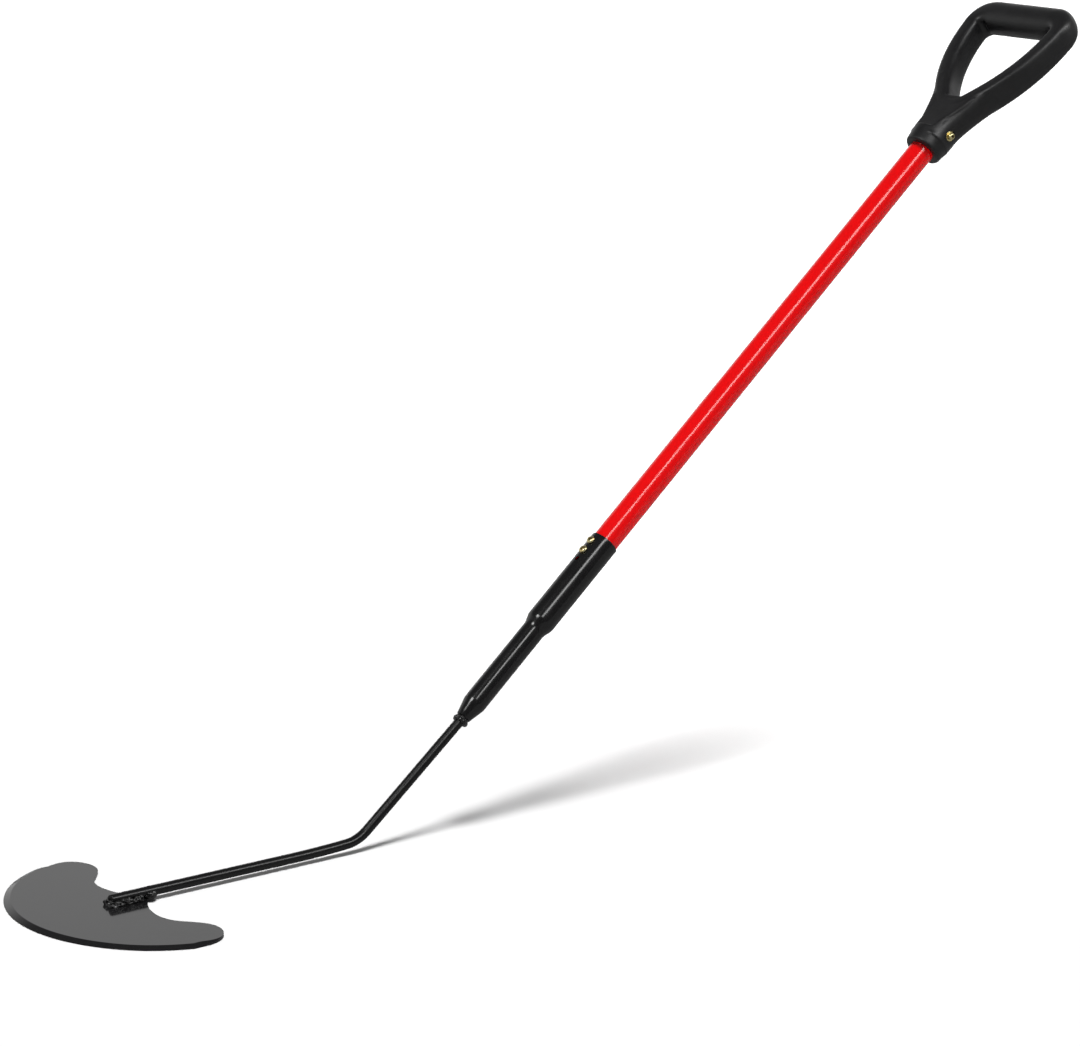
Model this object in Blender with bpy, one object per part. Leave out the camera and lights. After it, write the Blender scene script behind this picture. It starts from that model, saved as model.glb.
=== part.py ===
"""Sod cutter: a crescent blade on a bent rod, with a long tube handle and a D-shaped grip.

Units are metres, +Z is up. The origin lies on the blade's flat underside, in the tool's plane of
symmetry (XZ), under the middle of the blade. +X points from the blade towards the handle. The
handle's pieces are modelled along +Z from the point where the rod enters the ferrule, and an empty
there tips them over to the handle's lean.
"""

import math

import bmesh
import bpy
from mathutils import Matrix, Vector

# Fits
FIT = 0.0003                    # gap between pieces that touch
BOLT_CLEARANCE = 0.0003         # round the bolt and the screws, on the radius

# Blade: a flat plate whose outline is made of arcs that run into each other
BLADE_THICKNESS = 0.0030
EDGE_RADIUS = 0.1522            # arc of the cutting edge
FRONT_REACH = 0.0560            # from the origin forwards to the cutting edge
TONGUE_REACH = 0.0640           # from the origin back to the tongue's tip
NOTCH_DEPTH = 0.0158            # how far the two notches lie in front of the tongue's tip
NOTCH_OFFSET = 0.0500           # from the middle to the deepest point of each notch
NOTCH_INNER_RADIUS = 0.0670     # towards the tongue
NOTCH_OUTER_RADIUS = 0.0360     # towards the horn
HORN_SLOPE = math.radians(39.5)  # slope of each horn's inner side
HORN_RUN = 0.0178               # length of its straight stretch
BEVEL_WIDTH = 0.0061            # ground bevel along the cutting edge
BEVEL_FADE = (math.radians(40), math.radians(88))  # turn from the front over which it runs out
EDGE_LAND = 0.0004              # flat that the grinding leaves at the very edge

# Neck: one round bar. Its leg lies flat on the blade and runs back, sweeps up a little, then bends.
ROD_DIAMETER = 0.0095
ROD_START = 0.0340              # the bar's end on the blade
SWEEP_START = 0.2188            # from the origin to where the leg starts to sweep up
SWEEP_RADIUS = 1.2000
SWEEP_TURN = math.radians(3.0)
BEND_RADIUS = 0.0400
NECK_LEAN = math.radians(38.8)  # the neck's slope above the ground
NECK_LENGTH = 0.1376            # the straight stretch above the bend
EASE_RADIUS = 0.1500            # the slight bend into line with the handle, at the ferrule's mouth
ROD_INSERT = 0.0550             # how far the bar goes into the ferrule

# Ferrule: one tube, swaged in two steps, measured from its mouth
HANDLE_LEAN = math.radians(40.55)  # the handle's slope above the ground
FERRULE_WALL = 0.0010
MOUTH_RADIUS = 0.0070
CONE_LENGTH = 0.0170
WAIST_RADIUS = 0.0111
SHOULDER_START = 0.1090
SHOULDER_LENGTH = 0.0120
FERRULE_LENGTH = 0.2210
SCREW_FROM_RIM = (0.0095, 0.0215, 0.0320)  # three holes through the tube, the last one left empty

# Screws of the ferrule
SCREW_SHANK = 0.0042            # diameter
SCREW_HEAD = 0.0082             # diameter
SCREW_HEAD_HEIGHT = 0.0026
SCREW_GRIP = 0.0090             # length under the head
SCREW_TIP = 0.30                # length of a screw's or bolt's point as a share of its shank
SCREW_TAPER = 0.60              # how far the point narrows, as a share of its length
HEAD_RIM = 0.35                 # straight side of a pan head as a share of its height
HEAD_ROUND = 0.45               # how far its crown draws in, as a share of its radius

# Handle tube
TUBE_DIAMETER = 0.0254
TUBE_WALL = 0.0012
GRIP_MOUTH = 0.7464             # from the ferrule's mouth to the mouth of the grip's socket

# Grip, measured from the mouth of its socket
SOCKET_DEPTH = 0.0600
LIP_RADIUS = 0.0196
LIP_ROUND = 0.0025
SOCKET_RADIUS = 0.0214
NECK_START = 0.0200             # where the socket starts to widen into the web
WEB_REACH = 0.0670              # where the web ends in the crotch
WEB_HALF_WIDTH = 0.0388
WEB_HALF_THICKNESS = 0.0152
RING_DROP = 0.0012              # the D's middle plane lies this far below the handle's axis
BAR_REACH = 0.1837              # to the middle of the bar that the hand holds
BAR_HALF_STRAIGHT = 0.0424
BAR_SHARE = 0.90                # part of the straight that keeps the bar's own section
BAR_HALF_DEPTH = 0.0174         # the bar's section, along the handle
BAR_HALF_THICKNESS = 0.0160     # the bar's section, across the D
CORNER_RADIUS = 0.0181
CORNER_TURN = math.radians(92.9)
CORNER_SHARE = 1.10             # length over which the section changes, in lengths of the corner
ARM_RADIUS = 0.1577
ARM_TURN = math.radians(35.4)
ARM_HALF_DEPTH = 0.0091         # the arms' section, in the D's plane
ARM_TOP_THICKNESS = 0.0141      # half thickness of an arm where it leaves the corner
ARM_FOOT_THICKNESS = 0.0189     # half thickness of an arm in the crotch
ARM_SQUARENESS = 3.2            # exponent of the arms' section, 2 is an ellipse
CROTCH_RADIUS = 0.0225

# Bolt across the grip's socket
BOLT_REACH = 0.0236             # from the socket's mouth
BOLT_DIAMETER = 0.0050
BOLT_HEAD = 0.0088              # diameter
BOLT_HEAD_HEIGHT = 0.0030
BOLT_SPARE = 0.0015             # thread past the nut
WASHER_DIAMETER = 0.0116
WASHER_THICKNESS = 0.0010
SPOT_FACE_DEPTH = 0.0012        # flat sunk into the socket's side for each washer
NUT_ACROSS_FLATS = 0.0080
NUT_HEIGHT = 0.0040
RECESS_WIDTH = 0.0011           # slot of the cross recess
RECESS_SPAN = 0.46              # length of the slot as a share of the head's diameter
RECESS_DEPTH = 0.55             # depth as a share of the head's height

# Welds
BEAD_RADIUS = 0.0034
NOSE_RADIUS = 0.0054            # the bead's radius in front of the rod's end
NOSE_OVERLAP = 0.0020           # how far behind the rod's end the bead starts to turn round it
BEAD_LUMP = 0.16                # how much the bead swells at each lump
BEAD_PITCH = 0.0062             # length of one lump
BEAD_SETBACK = 0.0045           # from the tongue to the middle of the bead's ends
BEAD_SEAT = 0.45                # how far the bead's middle lies off its seam, as a share of its radius
BEAD_TAPER = (0.35, 0.75)       # size of the bead's first and second ring from each end
HEEL_RADIUS = 0.0050
HEEL_HALF_WIDTH = 0.0085
COLLAR_HEIGHT = 0.0062          # the ring of weld at the ferrule's mouth
COLLAR_RADIUS = 0.0072
COLLAR_LUMPS = 7
COLLAR_LUMP = 0.10
COLLAR_PROFILE = ((0.0, 0.0), (0.10, 0.55), (0.35, 0.95), (0.65, 1.0), (0.90, 0.75), (1.0, 0.0))

# Facets
ROUND = 48                      # sides of the large round pieces
SMALL = 24                      # sides of the small round pieces
ARC_STEP = math.radians(6)      # turn from one point of a bend to the next
OUTLINE_STEPS = (5, 3, 7, 16, 26)  # of the blade's tongue, notch's two arcs, horn and outer arc
SHOULDER_STEPS = 6
BEAD_STEPS = 12                 # along each straight stretch of weld
STEM_STEPS = 10

# Radii that follow from the sizes above
ROD_RADIUS = ROD_DIAMETER / 2
TUBE_RADIUS = TUBE_DIAMETER / 2
SEAT_BORE = TUBE_RADIUS + FIT                   # the ferrule's and the socket's bore round the tube
SEAT_RADIUS = SEAT_BORE + FERRULE_WALL
MOUTH_BORE = ROD_RADIUS + FIT
TUBE_START = SHOULDER_START + SHOULDER_LENGTH + FIT
LEG_HEIGHT = BLADE_THICKNESS + FIT + ROD_RADIUS


def clear_scene():
    for old in list(bpy.data.objects):
        bpy.data.objects.remove(old, do_unlink=True)


def material(name, colour, roughness, metallic, coat=0.0):
    mat = bpy.data.materials.new(name)
    mat.use_nodes = True
    shader = mat.node_tree.nodes["Principled BSDF"]
    shader.inputs["Base Color"].default_value = (*colour, 1.0)
    shader.inputs["Roughness"].default_value = roughness
    shader.inputs["Metallic"].default_value = metallic
    shader.inputs["Coat Weight"].default_value = coat
    return mat


def finish(bm, name, mat, parent=None, smooth_angle=35):
    """Turns a bmesh into a named object with outward faces and smooth round sides."""
    bmesh.ops.remove_doubles(bm, verts=bm.verts, dist=1e-7)
    bmesh.ops.recalc_face_normals(bm, faces=bm.faces)
    mesh = bpy.data.meshes.new(name)
    bm.to_mesh(mesh)
    bm.free()
    mesh.shade_smooth()
    mesh.set_sharp_from_angle(angle=math.radians(smooth_angle))
    if mat is not None:
        mesh.materials.append(mat)
    obj = bpy.data.objects.new(name, mesh)
    bpy.context.scene.collection.objects.link(obj)
    obj.parent = parent
    return obj


def loft(rings, loop=False):
    """Joins rings of points, each with as many points, into one closed skin.

    With loop the last ring meets the first, otherwise the two end rings are capped.
    """
    bm = bmesh.new()
    rows = [[bm.verts.new(point) for point in ring] for ring in rings]
    count = len(rows[0])
    pairs = list(zip(rows, rows[1:]))
    if loop:
        pairs.append((rows[-1], rows[0]))
    for low, high in pairs:
        for i in range(count):
            j = (i + 1) % count
            bm.faces.new((low[i], low[j], high[j], high[i]))
    if not loop:
        bm.faces.new(list(reversed(rows[0])))
        bm.faces.new(rows[-1])
    return bm


def circle(radius, height, sides):
    """Points of a circle round Z at a height."""
    angles = [2 * math.pi * i / sides for i in range(sides)]
    return [Vector((radius * math.cos(a), radius * math.sin(a), height)) for a in angles]


def turned(profile, sides=ROUND, hollow=False):
    """Turns a profile of (height, radius) points round Z.

    A hollow profile is a closed outline, and an open one is capped at both ends.
    """
    return loft([circle(radius, height, sides) for height, radius in profile], loop=hollow)


def cutter(bm, name, parent=None):
    obj = finish(bm, name, None, parent)
    obj.hide_render = True
    obj.display_type = "WIRE"
    return obj


def boolean(obj, other, operation):
    step = obj.modifiers.new(f"{operation.lower()} {other.name}", "BOOLEAN")
    step.object = other
    step.operation = operation
    step.solver = "EXACT"


def ease(t):
    """Smooth step from 0 to 1."""
    t = min(max(t, 0.0), 1.0)
    return t * t * (3 - 2 * t)


def arc_run(centre, radius, start, end, steps, hollow=False):
    """Points of an arc in the XY plane as (x, y, outward angle), both ends included."""
    points = []
    for i in range(steps + 1):
        angle = start + (end - start) * i / steps
        x = centre[0] + radius * math.cos(angle)
        y = centre[1] + radius * math.sin(angle)
        points.append((x, y, angle + math.pi if hollow else angle))
    return points


class Trail:
    """A path of straights and arcs in a plane, kept as (x, y, heading) points."""

    def __init__(self, x, y, heading):
        self.points = [(x, y, heading)]

    def straight(self, length, steps=1):
        x, y, heading = self.points[-1]
        for i in range(1, steps + 1):
            run = length * i / steps
            self.points.append((x + run * math.cos(heading), y + run * math.sin(heading), heading))

    def bend(self, radius, turn):
        """Turns left by an angle, or right where the angle is negative."""
        x, y, heading = self.points[-1]
        side = math.copysign(1, turn)
        cx = x - side * radius * math.sin(heading)
        cy = y + side * radius * math.cos(heading)
        steps = max(2, math.ceil(abs(turn) / ARC_STEP))
        for i in range(1, steps + 1):
            now = heading + turn * i / steps
            point = (cx + side * radius * math.sin(now), cy - side * radius * math.cos(now), now)
            self.points.append(point)


def half_outline():
    """Outline of the blade's top for y >= 0, from the tongue to the front.

    The tongue, the notch, the horn's inner side, the horn and the outer arc run into each other.
    Each point is (x, y, outward angle).
    """
    deepest = TONGUE_REACH - NOTCH_DEPTH
    # The tongue's arc touches the tongue's end and the notch's inner arc
    inner = (deepest + NOTCH_INNER_RADIUS, NOTCH_OFFSET)
    lead = inner[0] - TONGUE_REACH
    tongue_radius = (lead ** 2 + inner[1] ** 2 - NOTCH_INNER_RADIUS ** 2) / (
        2 * (NOTCH_INNER_RADIUS - lead))
    tongue = (TONGUE_REACH - tongue_radius, 0.0)
    meet = math.atan2(inner[1], inner[0] - tongue[0])
    on_tongue, on_inner, on_outer, on_horn, on_edge = OUTLINE_STEPS
    points = arc_run(tongue, tongue_radius, 0.0, meet, on_tongue)
    points += arc_run(inner, NOTCH_INNER_RADIUS, math.pi + meet, math.pi, on_inner, hollow=True)[1:]
    # The notch's outer arc ends where it has the slope of the horn's inner side
    outer = (deepest + NOTCH_OUTER_RADIUS, NOTCH_OFFSET)
    leave = math.pi - HORN_SLOPE
    points += arc_run(outer, NOTCH_OUTER_RADIUS, math.pi, leave, on_outer, hollow=True)[1:]
    # The horn's arc touches its inner side and, from inside, the outer arc
    start = points[-1]
    horn_x = start[0] + HORN_RUN * math.sin(HORN_SLOPE)
    horn_y = start[1] + HORN_RUN * math.cos(HORN_SLOPE)
    inward = (-math.cos(HORN_SLOPE), math.sin(HORN_SLOPE))
    top_radius = EDGE_RADIUS - BEVEL_WIDTH
    middle = (EDGE_RADIUS - FRONT_REACH, 0.0)
    off = (horn_x - middle[0], horn_y - middle[1])
    horn_radius = (top_radius ** 2 - off[0] ** 2 - off[1] ** 2) / (
        2 * (top_radius + inward[0] * off[0] + inward[1] * off[1]))
    centre = (horn_x + horn_radius * inward[0], horn_y + horn_radius * inward[1])
    tip = math.atan2(centre[1] - middle[1], centre[0] - middle[0])
    points += arc_run(centre, horn_radius, -HORN_SLOPE, tip, on_horn)
    points += arc_run(middle, top_radius, tip, math.pi, on_edge)[1:]
    return points


def bevel_width(outward):
    """Width of the bevel where the outline faces outward: full in front, none past the horns."""
    turn = abs(math.remainder(math.pi - outward, math.tau))
    return BEVEL_WIDTH * (1 - ease((turn - BEVEL_FADE[0]) / (BEVEL_FADE[1] - BEVEL_FADE[0])))


def make_blade(mat):
    """Plate with square back edges, and a bevel ground along the outer arc."""
    def ring(bevelled, height):
        half = []
        for x, y, outward in half_outline():
            width = bevel_width(outward) if bevelled else 0.0
            half.append((x + width * math.cos(outward), y + width * math.sin(outward)))
        other = [(x, -y) for x, y in reversed(half[1:-1])]
        return [Vector((x, y, height)) for x, y in half + other]

    bm = loft([ring(True, 0.0), ring(True, EDGE_LAND), ring(False, BLADE_THICKNESS)])
    bmesh.ops.triangulate(bm, faces=[face for face in bm.faces if len(face.verts) > 4])
    return finish(bm, "blade", mat)


def rod_trail(start, insert):
    """Rod's axis in the XZ plane, from the blade to a point inside the ferrule."""
    trail = Trail(start, LEG_HEIGHT, 0.0)
    trail.straight(SWEEP_START - start)
    trail.bend(SWEEP_RADIUS, SWEEP_TURN)
    trail.bend(BEND_RADIUS, NECK_LEAN - SWEEP_TURN)
    trail.straight(NECK_LENGTH)
    trail.bend(EASE_RADIUS, HANDLE_LEAN - NECK_LEAN)
    trail.straight(insert)
    return trail.points


def rod_tube(radius, start, insert):
    """Skin of a round bar along the rod's axis."""
    rings = []
    for x, z, heading in rod_trail(start, insert):
        place = Matrix.Translation((x, 0, z)) @ Matrix.Rotation(math.pi / 2 - heading, 4, "Y")
        rings.append([place @ point for point in circle(radius, 0, SMALL)])
    return loft(rings)


def handle_frame():
    """Empty at the ferrule's mouth, its +Z along the handle."""
    x, z, heading = rod_trail(ROD_START, 0.0)[-1]
    empty = bpy.data.objects.new("handle_axis", None)
    bpy.context.scene.collection.objects.link(empty)
    empty.location = (x, 0, z)
    empty.rotation_euler = (0, math.pi / 2 - heading, 0)
    return empty


def lumps(distance, pitch, swell):
    """How much a weld bead swells at a distance along it, as a factor."""
    return 1 - swell + 2 * swell * abs(math.sin(math.pi * distance / pitch))


def bead(path, pitch, swell):
    """Lumpy round bead along (position, direction, radius) points, with rounded ends."""
    rings = []
    travelled = 0.0
    last = path[0][0]
    for index, (place, direction, radius) in enumerate(path):
        travelled += (place - last).length
        last = place
        turn = Vector((0, 0, 1)).rotation_difference(direction).to_matrix().to_4x4()
        shape = Matrix.Translation(place) @ turn
        near_end = min(index, len(path) - 1 - index)
        share = BEAD_TAPER[near_end] if near_end < len(BEAD_TAPER) else 1.0
        size = radius * share * lumps(travelled, pitch, swell)
        rings.append([shape @ point for point in circle(size, 0, SMALL // 2)])
    return loft(rings)


def make_blade_weld(mat, rod_cut):
    """One run of weld along both sides of the rod and round its end, on top of the blade."""
    side = ROD_RADIUS + BEAD_RADIUS * BEAD_SEAT
    turn_at = ROD_START + NOSE_OVERLAP
    trail = Trail(TONGUE_REACH - BEAD_SETBACK, -side, math.pi)
    trail.straight(TONGUE_REACH - BEAD_SETBACK - turn_at, steps=BEAD_STEPS)
    trail.bend(side, -math.pi)
    trail.straight(TONGUE_REACH - BEAD_SETBACK - turn_at, steps=BEAD_STEPS)
    path = []
    for x, y, heading in trail.points:
        nose = ease((turn_at + BEAD_RADIUS - x) / side)
        radius = BEAD_RADIUS + (NOSE_RADIUS - BEAD_RADIUS) * nose
        place = Vector((x, y, BLADE_THICKNESS + radius * BEAD_SEAT))
        path.append((place, Vector((math.cos(heading), math.sin(heading), 0)), radius))
    weld = finish(bead(path, BEAD_PITCH, BEAD_LUMP), "blade_weld", mat)
    boolean(weld, cutter(blade_block(), "weld_seat_cutter"), "DIFFERENCE")
    boolean(weld, rod_cut, "DIFFERENCE")
    return weld


def blade_block():
    """Block that stands for the plate under the welds: its top and back are the fit off the plate's."""
    spare = 2 * (BEAD_RADIUS + NOSE_RADIUS)
    width = ROD_DIAMETER + 2 * spare + 2 * HEEL_HALF_WIDTH
    length = TONGUE_REACH - ROD_START + 2 * spare
    height = BLADE_THICKNESS + FIT + spare
    bm = bmesh.new()
    bmesh.ops.create_cube(bm, size=1.0)
    bmesh.ops.scale(bm, vec=(length, width, height), verts=bm.verts)
    shift = (TONGUE_REACH + FIT - length / 2, 0, BLADE_THICKNESS + FIT - height / 2)
    bmesh.ops.translate(bm, vec=shift, verts=bm.verts)
    return bm


def make_heel_weld(mat, rod_cut):
    """Lump of weld under the rod, against the tongue's tip and clear of the ground."""
    x = TONGUE_REACH + HEEL_RADIUS
    height = HEEL_RADIUS * (1 + BEAD_LUMP) + FIT
    path = []
    for i in range(BEAD_STEPS + 1):
        y = HEEL_HALF_WIDTH * (2 * i / BEAD_STEPS - 1)
        path.append((Vector((x, y, height)), Vector((0, 1, 0)), HEEL_RADIUS))
    weld = finish(bead(path, BEAD_PITCH, BEAD_LUMP), "blade_weld_heel", mat)
    boolean(weld, cutter(blade_block(), "heel_seat_cutter"), "DIFFERENCE")
    boolean(weld, rod_cut, "DIFFERENCE")
    return weld


def make_neck_weld(mat, parent):
    """Lumpy ring of weld round the rod, against the ferrule's mouth."""
    rings = []
    for i in range(ROUND):
        angle = 2 * math.pi * i / ROUND
        swell = 1 - COLLAR_LUMP + 2 * COLLAR_LUMP * abs(math.sin(COLLAR_LUMPS * angle / 2))
        ring = []
        for up, out in COLLAR_PROFILE:
            radius = MOUTH_BORE + (COLLAR_RADIUS - MOUTH_BORE) * out * swell
            height = -FIT - COLLAR_HEIGHT * (1 - up)
            ring.append(Vector((radius * math.cos(angle), radius * math.sin(angle), height)))
        rings.append(ring)
    return finish(loft(rings, loop=True), "neck_weld", mat, parent)


def screw_heights():
    return [FERRULE_LENGTH - below for below in SCREW_FROM_RIM]


def make_ferrule(mat, parent):
    """Swaged tube: cone, waist, shoulder and the seat of the handle tube, with three screw holes."""
    shoulder = [i / SHOULDER_STEPS for i in range(SHOULDER_STEPS + 1)]
    outer = [(0.0, MOUTH_RADIUS), (CONE_LENGTH, WAIST_RADIUS)]
    for t in shoulder:
        height = SHOULDER_START + SHOULDER_LENGTH * t
        outer.append((height, WAIST_RADIUS + (SEAT_RADIUS - WAIST_RADIUS) * ease(t)))
    outer.append((FERRULE_LENGTH, SEAT_RADIUS))
    waist_bore = WAIST_RADIUS - FERRULE_WALL
    inner = [(FERRULE_LENGTH, SEAT_BORE)]
    for t in reversed(shoulder):
        height = SHOULDER_START + SHOULDER_LENGTH * t
        inner.append((height, waist_bore + (SEAT_BORE - waist_bore) * ease(t)))
    inner.append((CONE_LENGTH, waist_bore))
    inner += [(2 * FERRULE_WALL, MOUTH_BORE), (0.0, MOUTH_BORE)]
    ferrule = finish(turned(outer + inner, hollow=True), "ferrule", mat, parent)
    for number, height in enumerate(screw_heights()):
        hole = side_pin(SCREW_SHANK / 2 + BOLT_CLEARANCE, 0.0, -SEAT_RADIUS * 1.5, height)
        boolean(ferrule, cutter(hole, f"ferrule_hole_{number}", parent), "DIFFERENCE")
    return ferrule


def side_pin(radius, near, far, height):
    """Round bar along the handle's local X from near to far, at a height."""
    bm = loft([circle(radius, 0.0, SMALL), circle(radius, abs(far - near), SMALL)])
    turn = Matrix.Rotation(math.copysign(math.pi / 2, far - near), 4, "Y")
    bmesh.ops.transform(bm, matrix=Matrix.Translation((near, 0, height)) @ turn, verts=bm.verts)
    return bm


def pan_head(shank, head, head_height, length):
    """Profile of a pan head screw along Z, the head's seat at 0 and the shank below it."""
    rim = head_height * HEAD_RIM
    crown = [(rim + (head_height - rim) * math.sin(a), head / 2 * (1 - HEAD_ROUND * (1 - math.cos(a))))
             for a in (math.radians(25), math.radians(50), math.radians(75), math.radians(90))]
    tip = shank * SCREW_TIP
    return [(-length, shank / 2 - tip * SCREW_TAPER), (-length + tip, shank / 2), (0.0, shank / 2),
            (0.0, head / 2), (rim, head / 2)] + crown


def cross_recess(head, head_height, place, name, parent):
    """Cross-shaped cutter sunk into a screw's head, with its own place under the parent."""
    reach = head * RECESS_SPAN
    depth = head_height * RECESS_DEPTH
    bars = []
    for number, turn in enumerate((0.0, math.pi / 2)):
        bm = bmesh.new()
        bmesh.ops.create_cube(bm, size=1.0)
        bmesh.ops.scale(bm, vec=(reach, RECESS_WIDTH, 2 * depth), verts=bm.verts)
        bmesh.ops.translate(bm, vec=(0, 0, head_height), verts=bm.verts)
        bmesh.ops.rotate(bm, matrix=Matrix.Rotation(turn, 3, "Z"), verts=bm.verts)
        bar = cutter(bm, f"{name}_recess_{number}", parent)
        bar.matrix_local = place
        bars.append(bar)
    return bars


def make_screw(name, mat, parent, place, shank, head, head_height, length):
    """Pan head screw with a cross recess, its head's seat at the place's origin."""
    screw = finish(turned(pan_head(shank, head, head_height, length), SMALL), name, mat, parent)
    screw.matrix_local = place
    for bar in cross_recess(head, head_height, place, name, parent):
        boolean(screw, bar, "DIFFERENCE")
    return screw


def make_ferrule_screws(mat, parent):
    """Two screws on top of the handle. The third hole is empty."""
    seat = SEAT_RADIUS + FIT
    for name, height in zip(("ferrule_screw_upper", "ferrule_screw_lower"), screw_heights()):
        place = Matrix.Translation((-seat, 0, height)) @ Matrix.Rotation(-math.pi / 2, 4, "Y")
        make_screw(name, mat, parent, place, SCREW_SHANK, SCREW_HEAD, SCREW_HEAD_HEIGHT, SCREW_GRIP)


def make_handle_tube(mat, parent):
    """Steel tube from the ferrule's shoulder to the floor of the grip's socket."""
    bore = TUBE_RADIUS - TUBE_WALL
    end = GRIP_MOUTH + SOCKET_DEPTH - FIT
    outline = [(TUBE_START, TUBE_RADIUS), (end, TUBE_RADIUS), (end, bore), (TUBE_START, bore)]
    tube = finish(turned(outline, hollow=True), "handle_tube", mat, parent)
    for number, height in enumerate(screw_heights()):
        hole = side_pin(SCREW_SHANK / 2 + BOLT_CLEARANCE, 0.0, -SEAT_RADIUS, height)
        boolean(tube, cutter(hole, f"tube_hole_{number}", parent), "DIFFERENCE")
    boolean(tube, bolt_hole("tube_bolt_hole", parent), "DIFFERENCE")
    return tube


def across(radius, low, high, height, sides=SMALL):
    """Round bar along the handle's local Y from low to high, at a height."""
    bm = loft([circle(radius, low, sides), circle(radius, high, sides)])
    turn = Matrix.Rotation(-math.pi / 2, 4, "X")
    bmesh.ops.transform(bm, matrix=Matrix.Translation((0, 0, height)) @ turn, verts=bm.verts)
    return bm


def bolt_hole(name, parent):
    reach = SOCKET_RADIUS * 2
    height = GRIP_MOUTH + BOLT_REACH
    return cutter(across(BOLT_DIAMETER / 2 + BOLT_CLEARANCE, -reach, reach, height), name, parent)


def section(half_depth, half_thickness, squareness, sides):
    """Closed section of the grip as (outwards, across) points, from an ellipse to a rounded box."""
    points = []
    for i in range(sides):
        angle = 2 * math.pi * i / sides
        c, s = math.cos(angle), math.sin(angle)
        out = math.copysign(abs(c) ** (2 / squareness), c) * half_depth
        up = math.copysign(abs(s) ** (2 / squareness), s) * half_thickness
        points.append((out, up))
    return points


def ring_trail():
    """Half of the D's middle line as (across, up, heading), from the bar's middle to the crotch."""
    trail = Trail(0.0, BAR_REACH, 0.0)
    trail.straight(BAR_HALF_STRAIGHT, steps=3)
    trail.bend(CORNER_RADIUS, -CORNER_TURN)
    trail.bend(ARM_RADIUS, -ARM_TURN)
    x, y, heading = trail.points[-1]
    rest = -math.pi - heading
    drop = CROTCH_RADIUS * math.sin(-heading)
    trail.straight((x - drop) / -math.cos(heading), steps=3)
    trail.bend(CROTCH_RADIUS, rest)
    return trail.points


def make_grip_ring():
    """The D: a closed sweep whose section changes from the bar's to the arms'."""
    half = ring_trail()
    lengths = [0.0]
    for a, b in zip(half, half[1:]):
        lengths.append(lengths[-1] + math.hypot(b[0] - a[0], b[1] - a[1]))
    bar_end = BAR_HALF_STRAIGHT * BAR_SHARE
    arm_start = BAR_HALF_STRAIGHT + CORNER_RADIUS * CORNER_TURN * CORNER_SHARE
    rings = []
    for (y, z, heading), length in zip(half, lengths):
        share = ease((length - bar_end) / (arm_start - bar_end))
        down = min(max((length - arm_start) / (lengths[-1] - arm_start), 0.0), 1.0)
        arm_thickness = ARM_TOP_THICKNESS + (ARM_FOOT_THICKNESS - ARM_TOP_THICKNESS) * down
        depth = BAR_HALF_DEPTH + (ARM_HALF_DEPTH - BAR_HALF_DEPTH) * share
        thickness = BAR_HALF_THICKNESS + (arm_thickness - BAR_HALF_THICKNESS) * share
        squareness = 2 + (ARM_SQUARENESS - 2) * share
        ring = []
        for out, up in section(depth, thickness, squareness, SMALL):
            sideways = y - out * math.sin(heading)
            ring.append(Vector((RING_DROP - up, sideways, z + out * math.cos(heading))))
        rings.append(ring)
    mirrored = [[Vector((p.x, -p.y, p.z)) for p in ring] for ring in reversed(rings[1:-1])]
    return loft(rings + mirrored, loop=True)


def make_grip_stem():
    """Socket that widens from a round mouth into the flat web between the arms."""
    rings = []
    for share in (0.0, 0.5, 1.0):
        angle = share * math.pi / 2
        radius = LIP_RADIUS - LIP_ROUND * (1 - math.sin(angle))
        rings.append((LIP_ROUND * (1 - math.cos(angle)), radius, radius))
    for i in range(STEM_STEPS + 1):
        t = i / STEM_STEPS
        height = NECK_START + (WEB_REACH - NECK_START) * t
        wide = SOCKET_RADIUS + (WEB_HALF_WIDTH - SOCKET_RADIUS) * ease(t)
        thick = SOCKET_RADIUS + (WEB_HALF_THICKNESS - SOCKET_RADIUS) * ease(t)
        rings.append((height, wide, thick))
    skins = []
    for height, wide, thick in rings:
        skins.append([Vector((p.x * thick, p.y * wide, height)) for p in circle(1.0, 0, ROUND)])
    return loft(skins)


def make_grip(mat, parent):
    """Moulded grip: the D joined to the socket, bored for the tube and drilled for the bolt."""
    place = bpy.data.objects.new("grip_mouth", None)
    bpy.context.scene.collection.objects.link(place)
    place.parent = parent
    place.location = (0, 0, GRIP_MOUTH)
    ring = cutter(make_grip_ring(), "grip_ring_part", place)
    grip = finish(make_grip_stem(), "d_grip", mat, place)
    boolean(grip, ring, "UNION")
    bore = loft([circle(SEAT_BORE, -LIP_ROUND, ROUND), circle(SEAT_BORE, SOCKET_DEPTH, ROUND)])
    boolean(grip, cutter(bore, "socket_cutter", place), "DIFFERENCE")
    boolean(grip, bolt_hole("grip_bolt_hole", parent), "DIFFERENCE")
    seat = washer_seat()
    flat = WASHER_DIAMETER / 2 + FIT
    for number, side in enumerate((-1, 1)):
        low, high = sorted((side * seat, side * SOCKET_RADIUS * 2))
        face = across(flat, low, high, GRIP_MOUTH + BOLT_REACH)
        boolean(grip, cutter(face, f"spot_face_{number}", parent), "DIFFERENCE")
    return grip


def washer_seat():
    """Distance from the handle's axis to the flats that the washers lie on."""
    return SOCKET_RADIUS - SPOT_FACE_DEPTH


def make_washer(name, side, mat, parent):
    """Washer on one of the socket's flats."""
    bore = BOLT_DIAMETER / 2 + BOLT_CLEARANCE
    low = washer_seat() + FIT
    high = low + WASHER_THICKNESS
    outline = [(low, WASHER_DIAMETER / 2), (high, WASHER_DIAMETER / 2), (high, bore), (low, bore)]
    washer = finish(turned(outline, SMALL, hollow=True), name, mat, parent)
    washer.location = (0, 0, GRIP_MOUTH + BOLT_REACH)
    washer.rotation_euler = (-side * math.pi / 2, 0, 0)
    return washer


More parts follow.
